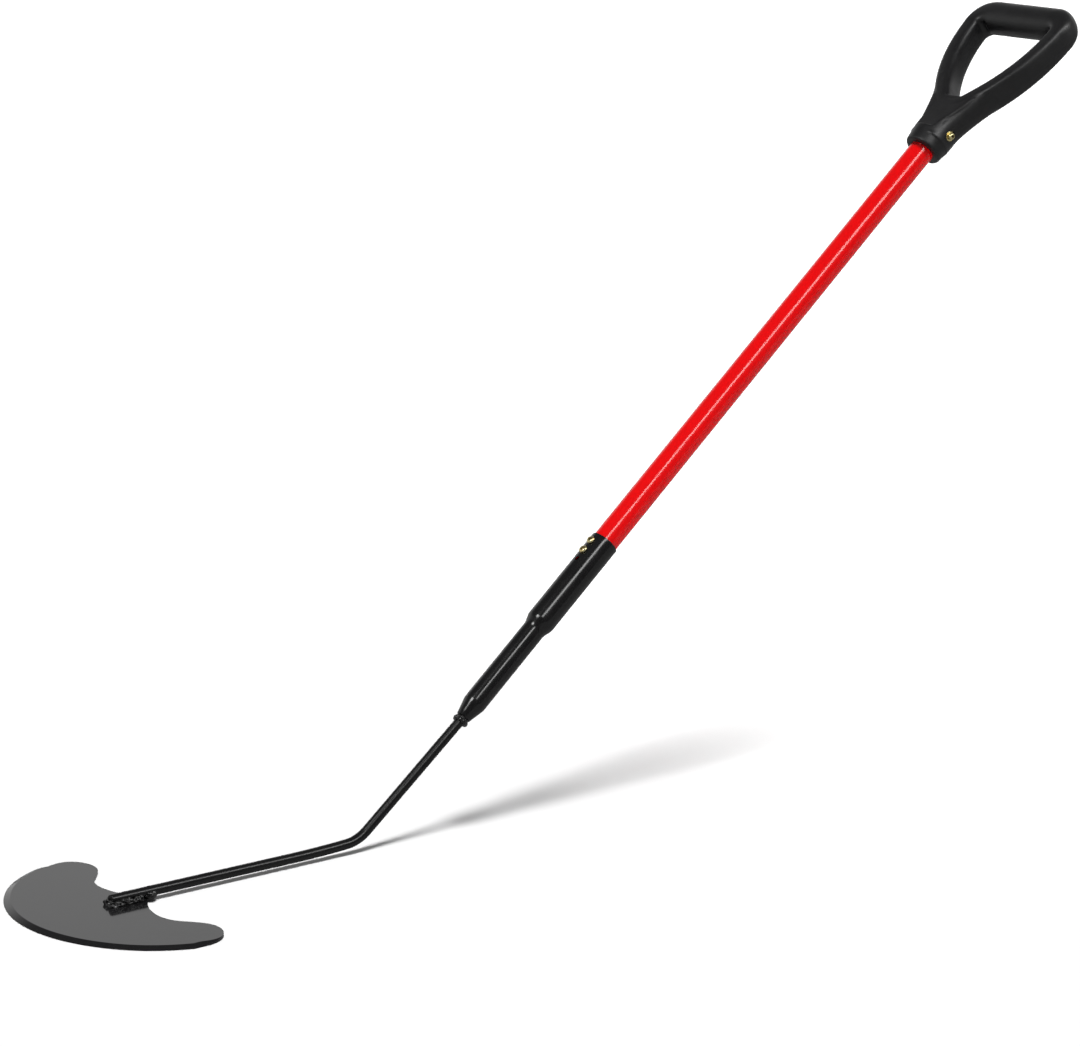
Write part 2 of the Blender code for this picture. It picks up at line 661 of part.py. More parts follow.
def make_bolt(mat, parent):
    """Bolt across the socket: its head on the -Y side, its end past the nut on the +Y side."""
    seat = washer_seat() + WASHER_THICKNESS + 2 * FIT
    length = 2 * seat + FIT + NUT_HEIGHT + BOLT_SPARE
    turn = Matrix.Rotation(math.pi / 2, 4, "X")
    place = Matrix.Translation((0, -seat, GRIP_MOUTH + BOLT_REACH)) @ turn
    return make_screw("grip_bolt", mat, parent, place,
                      BOLT_DIAMETER, BOLT_HEAD, BOLT_HEAD_HEIGHT, length)


def make_nut(mat, parent):
    """Hexagon nut on the far side of the socket."""
    low = washer_seat() + WASHER_THICKNESS + 2 * FIT
    corner = NUT_ACROSS_FLATS / math.sqrt(3)
    hexagon = loft([circle(corner, low, 6), circle(corner, low + NUT_HEIGHT, 6)])
    nut = finish(hexagon, "grip_nut", mat, parent)
    nut.location = (0, 0, GRIP_MOUTH + BOLT_REACH)
    nut.rotation_euler = (-math.pi / 2, 0, 0)
    boolean(nut, bolt_hole("nut_bore", parent), "DIFFERENCE")
    return nut


def build():
    clear_scene()
    black = material("black_enamel", (0.010, 0.010, 0.011), 0.22, 0.0, coat=0.5)
    weld = material("painted_weld", (0.008, 0.008, 0.008), 0.18, 0.0, coat=0.6)
    red = material("red_enamel", (0.75, 0.006, 0.010), 0.25, 0.0, coat=0.5)
    zinc = material("yellow_zinc", (0.62, 0.52, 0.26), 0.30, 1.0)
    plastic = material("black_plastic", (0.016, 0.016, 0.018), 0.45, 0.0)

    make_blade(black)
    finish(rod_tube(ROD_RADIUS, ROD_START, ROD_INSERT), "neck_rod", black)
    rod_cut = cutter(rod_tube(ROD_RADIUS + FIT, ROD_START - FIT, 0.0), "rod_cutter")
    make_blade_weld(weld, rod_cut)
    make_heel_weld(weld, rod_cut)

    handle = handle_frame()
    make_neck_weld(weld, handle)
    make_ferrule(black, handle)
    make_ferrule_screws(zinc, handle)
    make_handle_tube(red, handle)
    make_grip(plastic, handle)
    make_washer("grip_washer_head", -1, zinc, handle)
    make_washer("grip_washer_nut", 1, zinc, handle)
    make_bolt(zinc, handle)
    make_nut(zinc, handle)


build()
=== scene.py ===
# %% [markdown]
# # A sod cutter, made surface by surface
#
# The tool is a crescent steel blade welded to a bent round bar. The bar ends in a swaged steel
# ferrule, two screws hold the ferrule to a red tube, and a bolt holds a moulded D-shaped grip on
# top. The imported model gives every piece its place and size. This lesson covers each solid with a
# finer surface computed with numpy, and then finishes it the way the real one is finished.

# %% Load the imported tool
import math

import bpy
import numpy as np
from mathutils import Matrix, Vector


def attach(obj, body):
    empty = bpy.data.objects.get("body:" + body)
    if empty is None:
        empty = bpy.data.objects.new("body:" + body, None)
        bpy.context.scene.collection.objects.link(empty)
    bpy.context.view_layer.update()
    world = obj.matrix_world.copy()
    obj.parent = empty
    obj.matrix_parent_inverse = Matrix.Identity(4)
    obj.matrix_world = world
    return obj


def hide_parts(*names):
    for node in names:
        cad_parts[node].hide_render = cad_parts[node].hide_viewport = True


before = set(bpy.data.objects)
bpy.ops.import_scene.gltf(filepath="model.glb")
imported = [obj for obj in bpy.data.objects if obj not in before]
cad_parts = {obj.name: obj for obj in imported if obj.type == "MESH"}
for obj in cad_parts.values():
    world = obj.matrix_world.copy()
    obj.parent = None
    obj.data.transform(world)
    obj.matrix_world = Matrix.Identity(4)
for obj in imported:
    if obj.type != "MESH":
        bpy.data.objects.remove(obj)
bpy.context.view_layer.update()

print("packed nodes:", sorted(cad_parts))

# %% [markdown]
# ## A surface from a grid of points
#
# Nearly every piece here is a profile carried along a line: a bar, a tube, a screw, a weld bead,
# even the rim of the blade. Such a surface is a grid of points. Rows follow the line and columns
# go round it, so one function can turn any grid into a closed mesh. It could be done face by face
# with bmesh, but whole arrays are shorter and quick enough for smooth pieces with many thousands
# of faces.

# %% Grid to mesh
def grid_faces(rows, cols, loop):
    """Corner numbers of all quads. Columns close on themselves, and so do rows with loop."""
    i = np.arange(rows if loop else rows - 1)[:, None]
    j = np.arange(cols)[None, :]
    here, up, side = i * cols, ((i + 1) % rows) * cols, (j + 1) % cols
    return np.stack([here + j, here + side, up + side, up + j], -1).reshape(-1, 4)


def skin(grid, loop=False):
    """Points and faces of a closed skin over a grid of rows x columns x 3.

    Row i, column j is joined to its neighbours in both directions. Unless the rows form a loop, a
    pole at the middle of the first and of the last row closes the ends.
    """
    rows, cols = grid.shape[:2]
    points = grid.reshape(-1, 3)
    faces = grid_faces(rows, cols, loop).tolist()
    if not loop:
        poles = np.stack([grid[0].mean(0), grid[-1].mean(0)])
        j = np.arange(cols)
        k = (j + 1) % cols
        first, last = rows * cols, rows * cols + 1
        top = (rows - 1) * cols
        faces += np.stack([np.full(cols, first), k, j], 1).tolist()
        faces += np.stack([np.full(cols, last), top + j, top + k], 1).tolist()
        points = np.concatenate([points, poles])
    return points, faces


def mesh_from(name, points, faces, sharp=40.0):
    """Smooth-shaded mesh, with creases where two faces turn by more than the sharp angle."""
    mesh = bpy.data.meshes.new(name)
    mesh.from_pydata(points.tolist(), [], faces)
    mesh.shade_smooth()
    mesh.set_sharp_from_angle(angle=math.radians(sharp))
    mesh.update()
    return mesh


def linked(name, data):
    """New object that is linked to the scene."""
    made = bpy.data.objects.new(name, data)
    bpy.context.scene.collection.objects.link(made)
    return made


def put(name, shape, material, nodes, sharp=40.0):
    """Finished piece from a mesh, or from points and faces.

    It rides on the tool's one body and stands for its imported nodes.
    """
    mesh = shape if isinstance(shape, bpy.types.Mesh) else mesh_from(name, *shape, sharp)
    piece = linked(name, mesh)
    mesh.materials.clear()
    mesh.materials.append(material)
    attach(piece, "root")
    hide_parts(*nodes)
    print(f"{name}: {len(mesh.polygons)} faces, stands for {', '.join(nodes)}")
    return piece


# %% [markdown]
# ## Rounded corners
#
# Nothing on a painted tool is truly sharp, and it is the small roundings that catch the light
# along an edge. A Bevel modifier could make them. Rounding the profile before it is turned or
# carried costs nothing and gives each corner its own radius.

# %% Round the corners of a profile
CORNER_STEPS = 5
TINY = 1e-12


def rounded(profile, setbacks, closed=False):
    """Rounds the corners of one or more profiles, given as points x 2 or profiles x points x 2.

    Each corner becomes a quadratic curve (1-t)^2 A + 2t(1-t) C + t^2 B, where C is the corner and
    A and B lie one setback from it on its two sides.
    """
    points = np.asarray(profile, float)
    reach = np.broadcast_to(np.asarray(setbacks, float), points.shape[:-1])[..., None]
    ways = (np.roll(points, 1, -2) - points, np.roll(points, -1, -2) - points)
    lengths = [np.maximum(np.linalg.norm(way, axis=-1, keepdims=True), TINY) for way in ways]
    start, end = (points + way / length * reach for way, length in zip(ways, lengths))
    t = np.linspace(0, 1, CORNER_STEPS)[:, None]
    curve = (start[..., None, :] * (1 - t) ** 2 + points[..., None, :] * 2 * t * (1 - t)
             + end[..., None, :] * t ** 2)
    if closed:
        return curve.reshape(*points.shape[:-2], -1, 2)
    inside = curve[..., 1:-1, :, :].reshape(*points.shape[:-2], -1, 2)
    return np.concatenate([points[..., :1, :], inside, points[..., -1:, :]], -2)


def along(values, step):
    """Extra points on the straight stretches of a profile, at most a step apart."""
    lengths = np.linalg.norm(np.diff(values, axis=0), axis=1)
    counts = np.maximum(np.ceil(lengths / step), 1).astype(int)
    pieces = [np.linspace(a, b, n, endpoint=False) for a, b, n in zip(values, values[1:], counts)]
    return np.concatenate(pieces + [values[-1:]])


# %% [markdown]
# ## Noise as a sum of waves
#
# Weld metal, cast skin and orange peel in paint are all irregular. Their shape can come from a sum
# of plane waves with fixed, mixed directions: it is smooth, it needs no texture, and the same
# numbers come out on every run.

# %% Waves
def waves(points, size, seed, count=28):
    """Smooth noise from about -1 to 1: the mean of sines of k.p + phase, times a factor.

    The wave vectors k point in mixed directions, and their lengths suit bumps of the given size.
    """
    mixed = np.random.default_rng(seed)
    k = mixed.normal(size=(3, count))
    k *= 2 * math.pi / size * mixed.uniform(0.45, 1.0, count) / np.linalg.norm(k, axis=0)
    phase = mixed.uniform(0, 2 * math.pi, count)
    return np.sin(points @ k + phase).sum(-1) / math.sqrt(count)


# %% [markdown]
# ## Paint, plating and plastic
#
# Three effects come back in several finishes, so each is one node group: the skin that sprayed
# enamel dries to, the dust that settles on upward faces, and the fine grain of a moulded surface.
# Each group puts out values only. The shader and everything that depends on the view stay in the
# material.

# %% Node helpers
def add(tree, kind, **settings):
    """New node with its properties set."""
    made = tree.nodes.new(kind)
    for key, value in settings.items():
        setattr(made, key, value)
    return made


def feed(tree, socket, value):
    """Puts a number in a socket, or links another node's output to it."""
    if isinstance(value, bpy.types.NodeSocket):
        tree.links.new(value, socket)
    else:
        socket.default_value = value


def calc(tree, operation, *values):
    """Math node on numbers or sockets."""
    made = add(tree, "ShaderNodeMath", operation=operation)
    for socket, value in zip(made.inputs, values):
        feed(tree, socket, value)
    return made.outputs[0]


def noise(tree, scale, detail=2.0, roughness=0.5):
    """Noise texture on object coordinates, its scale in bumps per metre."""
    made = add(tree, "ShaderNodeTexNoise")
    feed(tree, made.inputs["Vector"], add(tree, "ShaderNodeTexCoord").outputs["Object"])
    feed(tree, made.inputs["Scale"], scale)
    made.inputs["Detail"].default_value = detail
    made.inputs["Roughness"].default_value = roughness
    return made.outputs["Fac"]


def spread(tree, value, low, high, to_low=0.0, to_high=1.0):
    """Maps the range low to high of a value onto another range, with smooth ends."""
    made = add(tree, "ShaderNodeMapRange", interpolation_type="SMOOTHSTEP")
    for socket, number in zip(made.inputs[:5], (value, low, high, to_low, to_high)):
        feed(tree, socket, number)
    return made.outputs[0]


def parts_of(tree, vector):
    """X, Y and Z of a vector."""
    made = add(tree, "ShaderNodeSeparateXYZ")
    feed(tree, made.inputs[0], vector)
    return made.outputs


def new_group(name, inputs, outputs):
    """Empty node group with named number sockets."""
    tree = bpy.data.node_groups.new(name, "ShaderNodeTree")
    for label, default in inputs.items():
        socket = tree.interface.new_socket(label, in_out="INPUT", socket_type="NodeSocketFloat")
        socket.default_value = default
    for label in outputs:
        tree.interface.new_socket(label, in_out="OUTPUT", socket_type="NodeSocketFloat")
    return tree, add(tree, "NodeGroupInput").outputs, add(tree, "NodeGroupOutput").inputs


# %% The enamel skin group
def make_enamel_group():
    """Orange peel, a slow flow of the wet film, and roughness that varies a little with both."""
    tree, given, out = new_group(
        "enamel_skin",
        {"Peel scale": 420.0, "Flow scale": 60.0, "Roughness": 0.15, "Unevenness": 0.04},
        ("Roughness", "Height", "Tone"))
    peel = noise(tree, given["Peel scale"], 1.0)
    flow = noise(tree, given["Flow scale"], 3.0)
    feed(tree, out["Height"], calc(tree, "MULTIPLY_ADD", flow, 2.0, peel))
    signed = calc(tree, "MULTIPLY_ADD", flow, 2.0, -1.0)
    feed(tree, out["Roughness"],
         calc(tree, "MULTIPLY_ADD", signed, given["Unevenness"], given["Roughness"]))
    feed(tree, out["Tone"], flow)
    return tree


# %% The settled dust group
def make_dust_group():
    """Mask of fine specks and a thin haze, most of it on faces that look up."""
    tree, given, out = new_group(
        "settled_dust", {"Amount": 0.3, "Speck scale": 900.0, "Patch scale": 35.0}, ("Mask",))
    normal = parts_of(tree, add(tree, "ShaderNodeNewGeometry").outputs["Normal"])
    facing = spread(tree, normal["Z"], 0.1, 1.0)
    specks = spread(tree, noise(tree, given["Speck scale"], 0.0), 0.70, 0.80)
    patches = spread(tree, noise(tree, given["Patch scale"], 4.0, 0.6), 0.40, 0.80)
    settled = calc(tree, "MULTIPLY", calc(tree, "MULTIPLY_ADD", patches, 0.35, specks), facing)
    feed(tree, out["Mask"], calc(tree, "MULTIPLY", settled, given["Amount"]))
    return tree


# %% The moulded grain group
def make_grain_group():
    """Fine grain left by the mould's textured wall, over a faint waviness from shrinkage."""
    tree, given, out = new_group(
        "moulded_grain", {"Grain scale": 1500.0, "Sink scale": 45.0, "Roughness": 0.4},
        ("Roughness", "Height", "Tone"))
    grain = noise(tree, given["Grain scale"], 2.0, 0.6)
    sink = noise(tree, given["Sink scale"], 2.0)
    feed(tree, out["Height"], calc(tree, "MULTIPLY_ADD", sink, 3.0, grain))
    wander = spread(tree, sink, 0.3, 0.7, -0.05, 0.06)
    feed(tree, out["Roughness"], calc(tree, "ADD", given["Roughness"], wander))
    feed(tree, out["Tone"], calc(tree, "MULTIPLY", grain, sink))
    return tree


groups = {"skin": make_enamel_group(), "dust": make_dust_group(), "grain": make_grain_group()}
print("node groups:", {name: tree.name for name, tree in groups.items()})


# %% Use a group, mix colours, make bumps
def use(tree, group, **values):
    """Places a node group and sets its inputs, with spaces in their names written as _."""
    made = add(tree, "ShaderNodeGroup", node_tree=groups[group])
    for label, value in values.items():
        made.inputs[label.replace("_", " ")].default_value = value
    return made.outputs


def blend_colours(tree, share, one, other):
    """Colour from one to the other by a mask."""
    made = add(tree, "ShaderNodeMix", data_type="RGBA")
    feed(tree, made.inputs["Factor"], share)
    sockets = [socket for socket in made.inputs if socket.type == "RGBA"]
    for socket, colour in zip(sockets, (one, other)):
        feed(tree, socket, colour if isinstance(colour, bpy.types.NodeSocket) else (*colour, 1.0))
    return [socket for socket in made.outputs if socket.type == "RGBA"][0]


def dusted(tree, shader, base, amount, dust_colour):
    """Feeds the base colour with dust laid over it, and returns the dust's mask."""
    mask = use(tree, "dust", Amount=amount)["Mask"]
    feed(tree, shader["Base Color"], blend_colours(tree, mask, base, dust_colour))
    return mask


def bump(tree, shader, height, distance):
    """Feeds the normal from a height given in units of the distance."""
    made = add(tree, "ShaderNodeBump")
    made.inputs["Distance"].default_value = distance
    feed(tree, made.inputs["Height"], height)
    feed(tree, shader["Normal"], made.outputs["Normal"])


def pointiness(tree, low, high):
    """Mask of crests, or of hollows where low is the larger number, from the mesh's curvature."""
    return spread(tree, add(tree, "ShaderNodeNewGeometry").outputs["Pointiness"], low, high)


def new_material(name):
    """New material, its node tree and the inputs of its shader."""
    material = bpy.data.materials.new(name)
    material.use_nodes = True
    tree = material.node_tree
    return material, tree, tree.nodes["Principled BSDF"].inputs


# %% [markdown]
# ## Gloss enamel
#
# The blade, the bar and the ferrule are dipped or sprayed in black gloss enamel, and the tube in
# red. Gloss paint looks almost black or fully red from the front, and turns into a mirror at a low
# angle: the flat blade looks grey only because it mirrors the pale room. So the paint is a dark,
# smooth surface with a faint orange peel, and the light does the rest.

# %% Black and red enamel
PALE_DUST = (0.30, 0.29, 0.28)
DUST_DULLS = 0.5
COAT_ROUGHNESS = 0.06


def enamel(name, colour, tint, roughness, peel, dust, coat=0.0, mirror=0.5):
    """Gloss paint: the skin group drives roughness and bump, dust greys the upward faces.

    The colour drifts to its tint, peel is the height of the orange peel in metres, and mirror is
    the strength of the plain reflection, where 0.5 is that of any clear varnish.
    """
    material, tree, shader = new_material(name)
    skin_out = use(tree, "skin", Roughness=roughness, Unevenness=0.05)
    base = blend_colours(tree, skin_out["Tone"], colour, tint)
    mask = dusted(tree, shader, base, dust, PALE_DUST)
    feed(tree, shader["Roughness"],
         calc(tree, "MULTIPLY_ADD", mask, DUST_DULLS, skin_out["Roughness"]))
    shader["Coat Weight"].default_value = coat
    shader["Coat Roughness"].default_value = COAT_ROUGHNESS
    shader["Specular IOR Level"].default_value = mirror
    bump(tree, shader, skin_out["Height"], peel)
    return material


black_enamel = enamel("black_gloss_enamel", (0.0035, 0.0035, 0.004), (0.006, 0.006, 0.006),
                      roughness=0.17, peel=4e-6, dust=0.015)
bar_enamel = enamel("bar_gloss_enamel", (0.0025, 0.0025, 0.003), (0.005, 0.005, 0.005),
                    roughness=0.27, peel=8e-6, dust=0.01, mirror=0.38)
blade_enamel = enamel("blade_gloss_enamel", (0.005, 0.005, 0.006), (0.008, 0.008, 0.008),
                      roughness=0.10, peel=1e-6, dust=0.01)
red_enamel = enamel("red_gloss_enamel", (0.88, 0.0010, 0.0025), (0.80, 0.0008, 0.0022),
                    roughness=0.18, peel=3e-6, dust=0.003, coat=0.38, mirror=0.22)
print("enamels:", black_enamel.name, bar_enamel.name, blade_enamel.name, red_enamel.name)

# %% [markdown]
# ## Painted weld
#
# The beads were painted over without grinding. Paint gathers in the valleys between the ripples
# and stretches thin and shiny over the crests, so the roughness follows the shape through
# Pointiness, and small spatter stands out as bump. The colour is also darker in the valleys, as
# painted shade.

# %% Painted weld metal
EARTH_DUST = (0.25, 0.24, 0.22)
SPATTER_SCALE = 700.0
SPATTER_HEIGHT = 0.00014


def make_weld_paint():
    """Paint over weld: valleys duller and darker as painted shade; spatter and ripples as bump."""
    material, tree, shader = new_material("painted_weld_metal")
    ridge = pointiness(tree, 0.46, 0.56)
    spatter = spread(tree, noise(tree, SPATTER_SCALE, 1.0), 0.62, 0.74)
    ripple = noise(tree, 2 * SPATTER_SCALE, 2.0)
    # Painted shade: the colour is darker in the valleys and lighter on the crests.
    base = blend_colours(tree, ridge, (0.005, 0.005, 0.005), (0.012, 0.012, 0.012))
    dusted(tree, shader, base, 0.06, EARTH_DUST)
    feed(tree, shader["Roughness"], calc(tree, "MULTIPLY_ADD", ridge, -0.08, 0.16))
    bump(tree, shader, calc(tree, "MULTIPLY_ADD", spatter, 2.0, ripple), SPATTER_HEIGHT)
    return material


weld_paint = make_weld_paint()

# %% [markdown]
# ## Yellow zinc
#
# The screws, the bolt, the washers and the nut are zinc plated and passivated yellow. The film is
# thin and uneven, so the colour drifts from straw to a greenish gold, and its faint turning marks
# spread the light round each head.

# %% Yellow passivated zinc
STRAW = (0.83, 0.66, 0.30)
GREENISH_GOLD = (0.70, 0.66, 0.38)
# Painted shade: the colour that the recess and the gap under the head turn to.
HOLLOW_SHADE = (0.16, 0.11, 0.05)
FILM_SCALE = 450.0
MARK_SCALE = 4200.0
MARK_HEIGHT = 0.000006


def make_zinc():
    """Plated metal: its film sets colour and roughness, and the hollows are painted darker as
    shade.
    """
    material, tree, shader = new_material("yellow_passivated_zinc")
    film = noise(tree, FILM_SCALE, 3.0, 0.6)
    plating = blend_colours(tree, spread(tree, film, 0.35, 0.65), STRAW, GREENISH_GOLD)
    # Painted shade: the hollows of the recess and under the head are darkened in the colour.
    hollows = pointiness(tree, 0.50, 0.42)
    feed(tree, shader["Base Color"], blend_colours(tree, hollows, plating, HOLLOW_SHADE))
    feed(tree, shader["Metallic"], calc(tree, "MULTIPLY_ADD", hollows, -0.3, 1.0))
    feed(tree, shader["Roughness"], spread(tree, film, 0.3, 0.7, 0.20, 0.34))
    bump(tree, shader, noise(tree, MARK_SCALE, 1.0), MARK_HEIGHT)
    return material


zinc = make_zinc()

# %% [markdown]
# ## Moulded plastic
#
# The grip is black polypropylene. The mould's wall is lightly textured, which makes the surface
# satin: it mirrors nothing, but upward faces still show a soft grey sheen.

# %% Black satin plastic
GREY_DUST = (0.25, 0.25, 0.25)
PLASTIC_MIRROR = 0.42
GRAIN_HEIGHT = 0.00002


def make_plastic():
    """Satin plastic: the grain group drives tone, roughness and bump, under a little dust."""
    material, tree, shader = new_material("black_satin_plastic")
    grain = use(tree, "grain", Grain_scale=1700.0, Roughness=0.40)
    base = blend_colours(tree, grain["Tone"], (0.006, 0.006, 0.0065), (0.013, 0.013, 0.014))
    dusted(tree, shader, base, 0.05, GREY_DUST)
    feed(tree, shader["Roughness"], grain["Roughness"])
    shader["Specular IOR Level"].default_value = PLASTIC_MIRROR
    bump(tree, shader, grain["Height"], GRAIN_HEIGHT)
    return material


plastic = make_plastic()
print("finishes:", weld_paint.name, zinc.name, plastic.name)

# %% [markdown]
# ## The bar's line
#
# One round bar carries the whole tool. Its leg lies flat on the blade, rises in a long faint
# sweep, bends up, runs straight, and eases into line with the handle at the ferrule's mouth. The
# line is a list of straights and arcs in the plane of symmetry, and each point keeps its heading,
# so any profile can be set square on it.

# %% Lines of straights and arcs
def straight(line, length, step=0.004):
    """Adds a straight stretch to a line of (x, y, heading) rows."""
    x, y, heading = line[-1]
    run = np.linspace(0, length, max(2, math.ceil(length / step) + 1))[1:]
    new = np.stack([x + run * math.cos(heading), y + run * math.sin(heading),
                    np.full(len(run), heading)], 1)
    return np.concatenate([line, new])


def bend(line, radius, turn, step=math.radians(1.5)):
    """Adds an arc: the point turns about a centre one radius to the left, or right if negative."""
    x, y, heading = line[-1]
    side = math.copysign(1, turn)
    now = heading + np.linspace(0, turn, max(3, math.ceil(abs(turn) / step) + 1))[1:]
    new = np.stack([x + side * radius * (np.sin(now) - math.sin(heading)),
                    y - side * radius * (np.cos(now) - math.cos(heading)), now], 1)
    return np.concatenate([line, new])


FIT = 0.0003
BLADE_THICKNESS = 0.0030
TONGUE_REACH = 0.0640
ROD_RADIUS = 0.00475
ROD_START = 0.0290
SWEEP_START = 0.2188
SWEEP_RADIUS = 1.2000
SWEEP_TURN = math.radians(3.0)
BEND_RADIUS = 0.0400
NECK_LEAN = math.radians(38.8)
HANDLE_LEAN = math.radians(40.55)
NECK_LENGTH = 0.1376
EASE_RADIUS = 0.1500
ROD_INSERT = 0.0550
LEG_HEIGHT = BLADE_THICKNESS + FIT + ROD_RADIUS


def bar_to_mouth():
    """The bar's middle line in the XZ plane, from its end on the blade to the ferrule's mouth."""
    line = np.array([[ROD_START, LEG_HEIGHT, 0.0]])
    line = straight(line, SWEEP_START - ROD_START)
    line = bend(line, SWEEP_RADIUS, SWEEP_TURN, math.radians(0.2))
    line = bend(line, BEND_RADIUS, NECK_LEAN - SWEEP_TURN)
    line = straight(line, NECK_LENGTH)
    return bend(line, EASE_RADIUS, HANDLE_LEAN - NECK_LEAN)


print("ferrule's mouth at", bar_to_mouth()[-1, :2].round(4))


# %% Round sections along a line
def full_turn(count):
    """Row of evenly spaced angles from 0 up to, but not including, a full turn."""
    return np.linspace(0, 2 * math.pi, count, endpoint=False)[None, :]


def round_rows(line, radii, sides):
    """Rings of points round an XZ line: p + r (cos a up + sin a across), a from 0 to a full turn.

    Up is square to the line in its plane, and across is -Y, so faces point outwards.
    """
    x, z, heading = line.T
    zero = np.zeros_like(x)
    centre = np.stack([x, zero, z], 1)
    up = np.stack([-np.sin(heading), zero, np.cos(heading)], 1)
    across = np.stack([zero, zero - 1, zero], 1)
    a = full_turn(sides)[..., None]
    r = np.broadcast_to(radii, x.shape)[:, None, None]
    return centre[:, None] + r * (np.cos(a) * up[:, None] + np.sin(a) * across[:, None])


BAR_SIDES = 64
END_ROUND = 0.0007

line = straight(bar_to_mouth(), ROD_INSERT)
t = np.linspace(0, math.pi / 2, 5)[:, None]
end_rows = np.hstack([ROD_START + END_ROUND * (1 - np.cos(t)), 0 * t + LEG_HEIGHT, 0 * t])
end_radii = ROD_RADIUS - END_ROUND * (1 - np.sin(t[:, 0]))
rows = np.concatenate([end_rows, line[1:]])
radii = np.concatenate([end_radii, np.full(len(line) - 1, ROD_RADIUS)])
put("bent_round_bar", skin(round_rows(rows, radii, BAR_SIDES)), bar_enamel, ["neck_rod"])

# %% [markdown]
# ## The blade
#
# The blade is laser-cut plate, 3 mm thick, with a bevel ground along its outer arc. Its outline is
# a chain of arcs that touch: tongue, notch, horn and cutting edge. The rim's profile is carried
# round that outline. It is a vertical cut at the back and turns into the long slope of the bevel
# in front.

# %% The blade's outline
EDGE_RADIUS = 0.1522
FRONT_REACH = 0.0560
NOTCH_DEPTH = 0.0158
NOTCH_OFFSET = 0.0500
NOTCH_INNER_RADIUS = 0.0670
NOTCH_OUTER_RADIUS = 0.0360
HORN_SLOPE = math.radians(39.5)
HORN_RUN = 0.0178
BEVEL_WIDTH = 0.0061
EDGE_FADE = (math.radians(40), math.radians(88))
BEVEL_FADE = (math.radians(72), math.radians(132))
EDGE_LAND = 0.0004
OUTLINE_STEPS = (14, 22, 26, 64, 120)


def arc(centre, radius, start, end, count, hollow=False):
    """Points c + r (cos a, sin a) with the angle that the outline faces there."""
    a = np.linspace(start, end, count)
    return np.stack([centre[0] + radius * np.cos(a), centre[1] + radius * np.sin(a),
                     a + math.pi if hollow else a], 1)


def half_outline():
    """The blade's top for y >= 0, from the tongue to the front, as (x, y, outward angle)."""
    deepest = TONGUE_REACH - NOTCH_DEPTH
    inner = (deepest + NOTCH_INNER_RADIUS, NOTCH_OFFSET)
    lead = inner[0] - TONGUE_REACH
    tongue_radius = (lead ** 2 + inner[1] ** 2 - NOTCH_INNER_RADIUS ** 2) / (
        2 * (NOTCH_INNER_RADIUS - lead))
    tongue = (TONGUE_REACH - tongue_radius, 0.0)
    meet = math.atan2(inner[1], inner[0] - tongue[0])
    outer = (deepest + NOTCH_OUTER_RADIUS, NOTCH_OFFSET)
    on_tongue, on_inner, on_outer, on_horn, on_edge = OUTLINE_STEPS
    parts = [arc(tongue, tongue_radius, 0.0, meet, on_tongue),
             arc(inner, NOTCH_INNER_RADIUS, math.pi + meet, math.pi, on_inner, hollow=True)[1:],
             arc(outer, NOTCH_OUTER_RADIUS, math.pi, math.pi - HORN_SLOPE, on_outer,
                 hollow=True)[1:]]
    horn = parts[-1][-1, :2] + HORN_RUN * np.array([math.sin(HORN_SLOPE), math.cos(HORN_SLOPE)])
    inward = np.array([-math.cos(HORN_SLOPE), math.sin(HORN_SLOPE)])
    top_radius = EDGE_RADIUS - BEVEL_WIDTH
    middle = np.array([EDGE_RADIUS - FRONT_REACH, 0.0])
    off = horn - middle
    horn_radius = (top_radius ** 2 - off @ off) / (2 * (top_radius + inward @ off))
    centre = horn + horn_radius * inward
    tip = math.atan2(centre[1] - middle[1], centre[0] - middle[0])
    parts += [arc(centre, horn_radius, -HORN_SLOPE, tip, on_horn),
              arc(middle, top_radius, tip, math.pi, on_edge)[1:]]
    return np.concatenate(parts)


half = half_outline()
outline = np.concatenate([half, half[::-1][1:-1] * [1, -1, -1]])
print("outline:", len(outline), "points, width", round(2 * half[:, 1].max(), 4))


# %% The blade's rim and faces
def smooth_step(t):
    """From 0 to 1 with level ends: 3 t^2 - 2 t^3, with t kept between 0 and 1."""
    t = np.clip(t, 0, 1)
    return t * t * (3 - 2 * t)


RIM_INSET = 0.0016
TOP_ROUND = 0.00035
EDGE_ROUND = 0.00015


def fading(turn, span):
    """One in front, falling smoothly to zero where the outline has turned through the span."""
    return 1 - smooth_step((turn - span[0]) / (span[1] - span[0]))


def blade_grid():
    """Rim profiles (outwards, up) round the outline: underside, land, bevel and top, rounded.

    The bevel keeps its slope and runs out towards the horns: it gets narrower, and the land under
    it grows to the plate's full thickness.
    """
    turn = np.abs(np.angle(np.exp(1j * (math.pi - outline[:, 2]))))
    edge = BEVEL_WIDTH * fading(turn, EDGE_FADE)
    wide = BEVEL_WIDTH * fading(turn, BEVEL_FADE)
    land = BLADE_THICKNESS - (BLADE_THICKNESS - EDGE_LAND) * wide / BEVEL_WIDTH
    top = edge - wide
    back = top - RIM_INSET
    zero, full = 0 * edge, np.full(len(edge), BLADE_THICKNESS)
    corners = np.array([[back, edge, edge, top, back], [zero, zero, land, full, full]]).T
    profile = rounded(corners, [0, EDGE_ROUND, EDGE_ROUND, TOP_ROUND, 0])
    out = np.stack([np.cos(outline[:, 2]), np.sin(outline[:, 2])], 1)
    flat = outline[:, None, :2] + profile[..., :1] * out[:, None]
    return np.concatenate([flat, profile[..., 1:]], -1)


def make_blade():
    """Rim as a grid that closes on itself, with one flat face above and one below."""
    grid = blade_grid().transpose(1, 0, 2)
    rows, cols = grid.shape[:2]
    faces = grid_faces(rows, cols, False).tolist()
    faces.append(list(range(cols))[::-1])
    faces.append([(rows - 1) * cols + j for j in range(cols)])
    piece = put("crescent_blade", (grid.reshape(-1, 3), faces), blade_enamel, ["blade"],
                sharp=50.0)
    piece.modifiers.new("flat faces stay flat", "WEIGHTED_NORMAL").keep_sharp = True


make_blade()

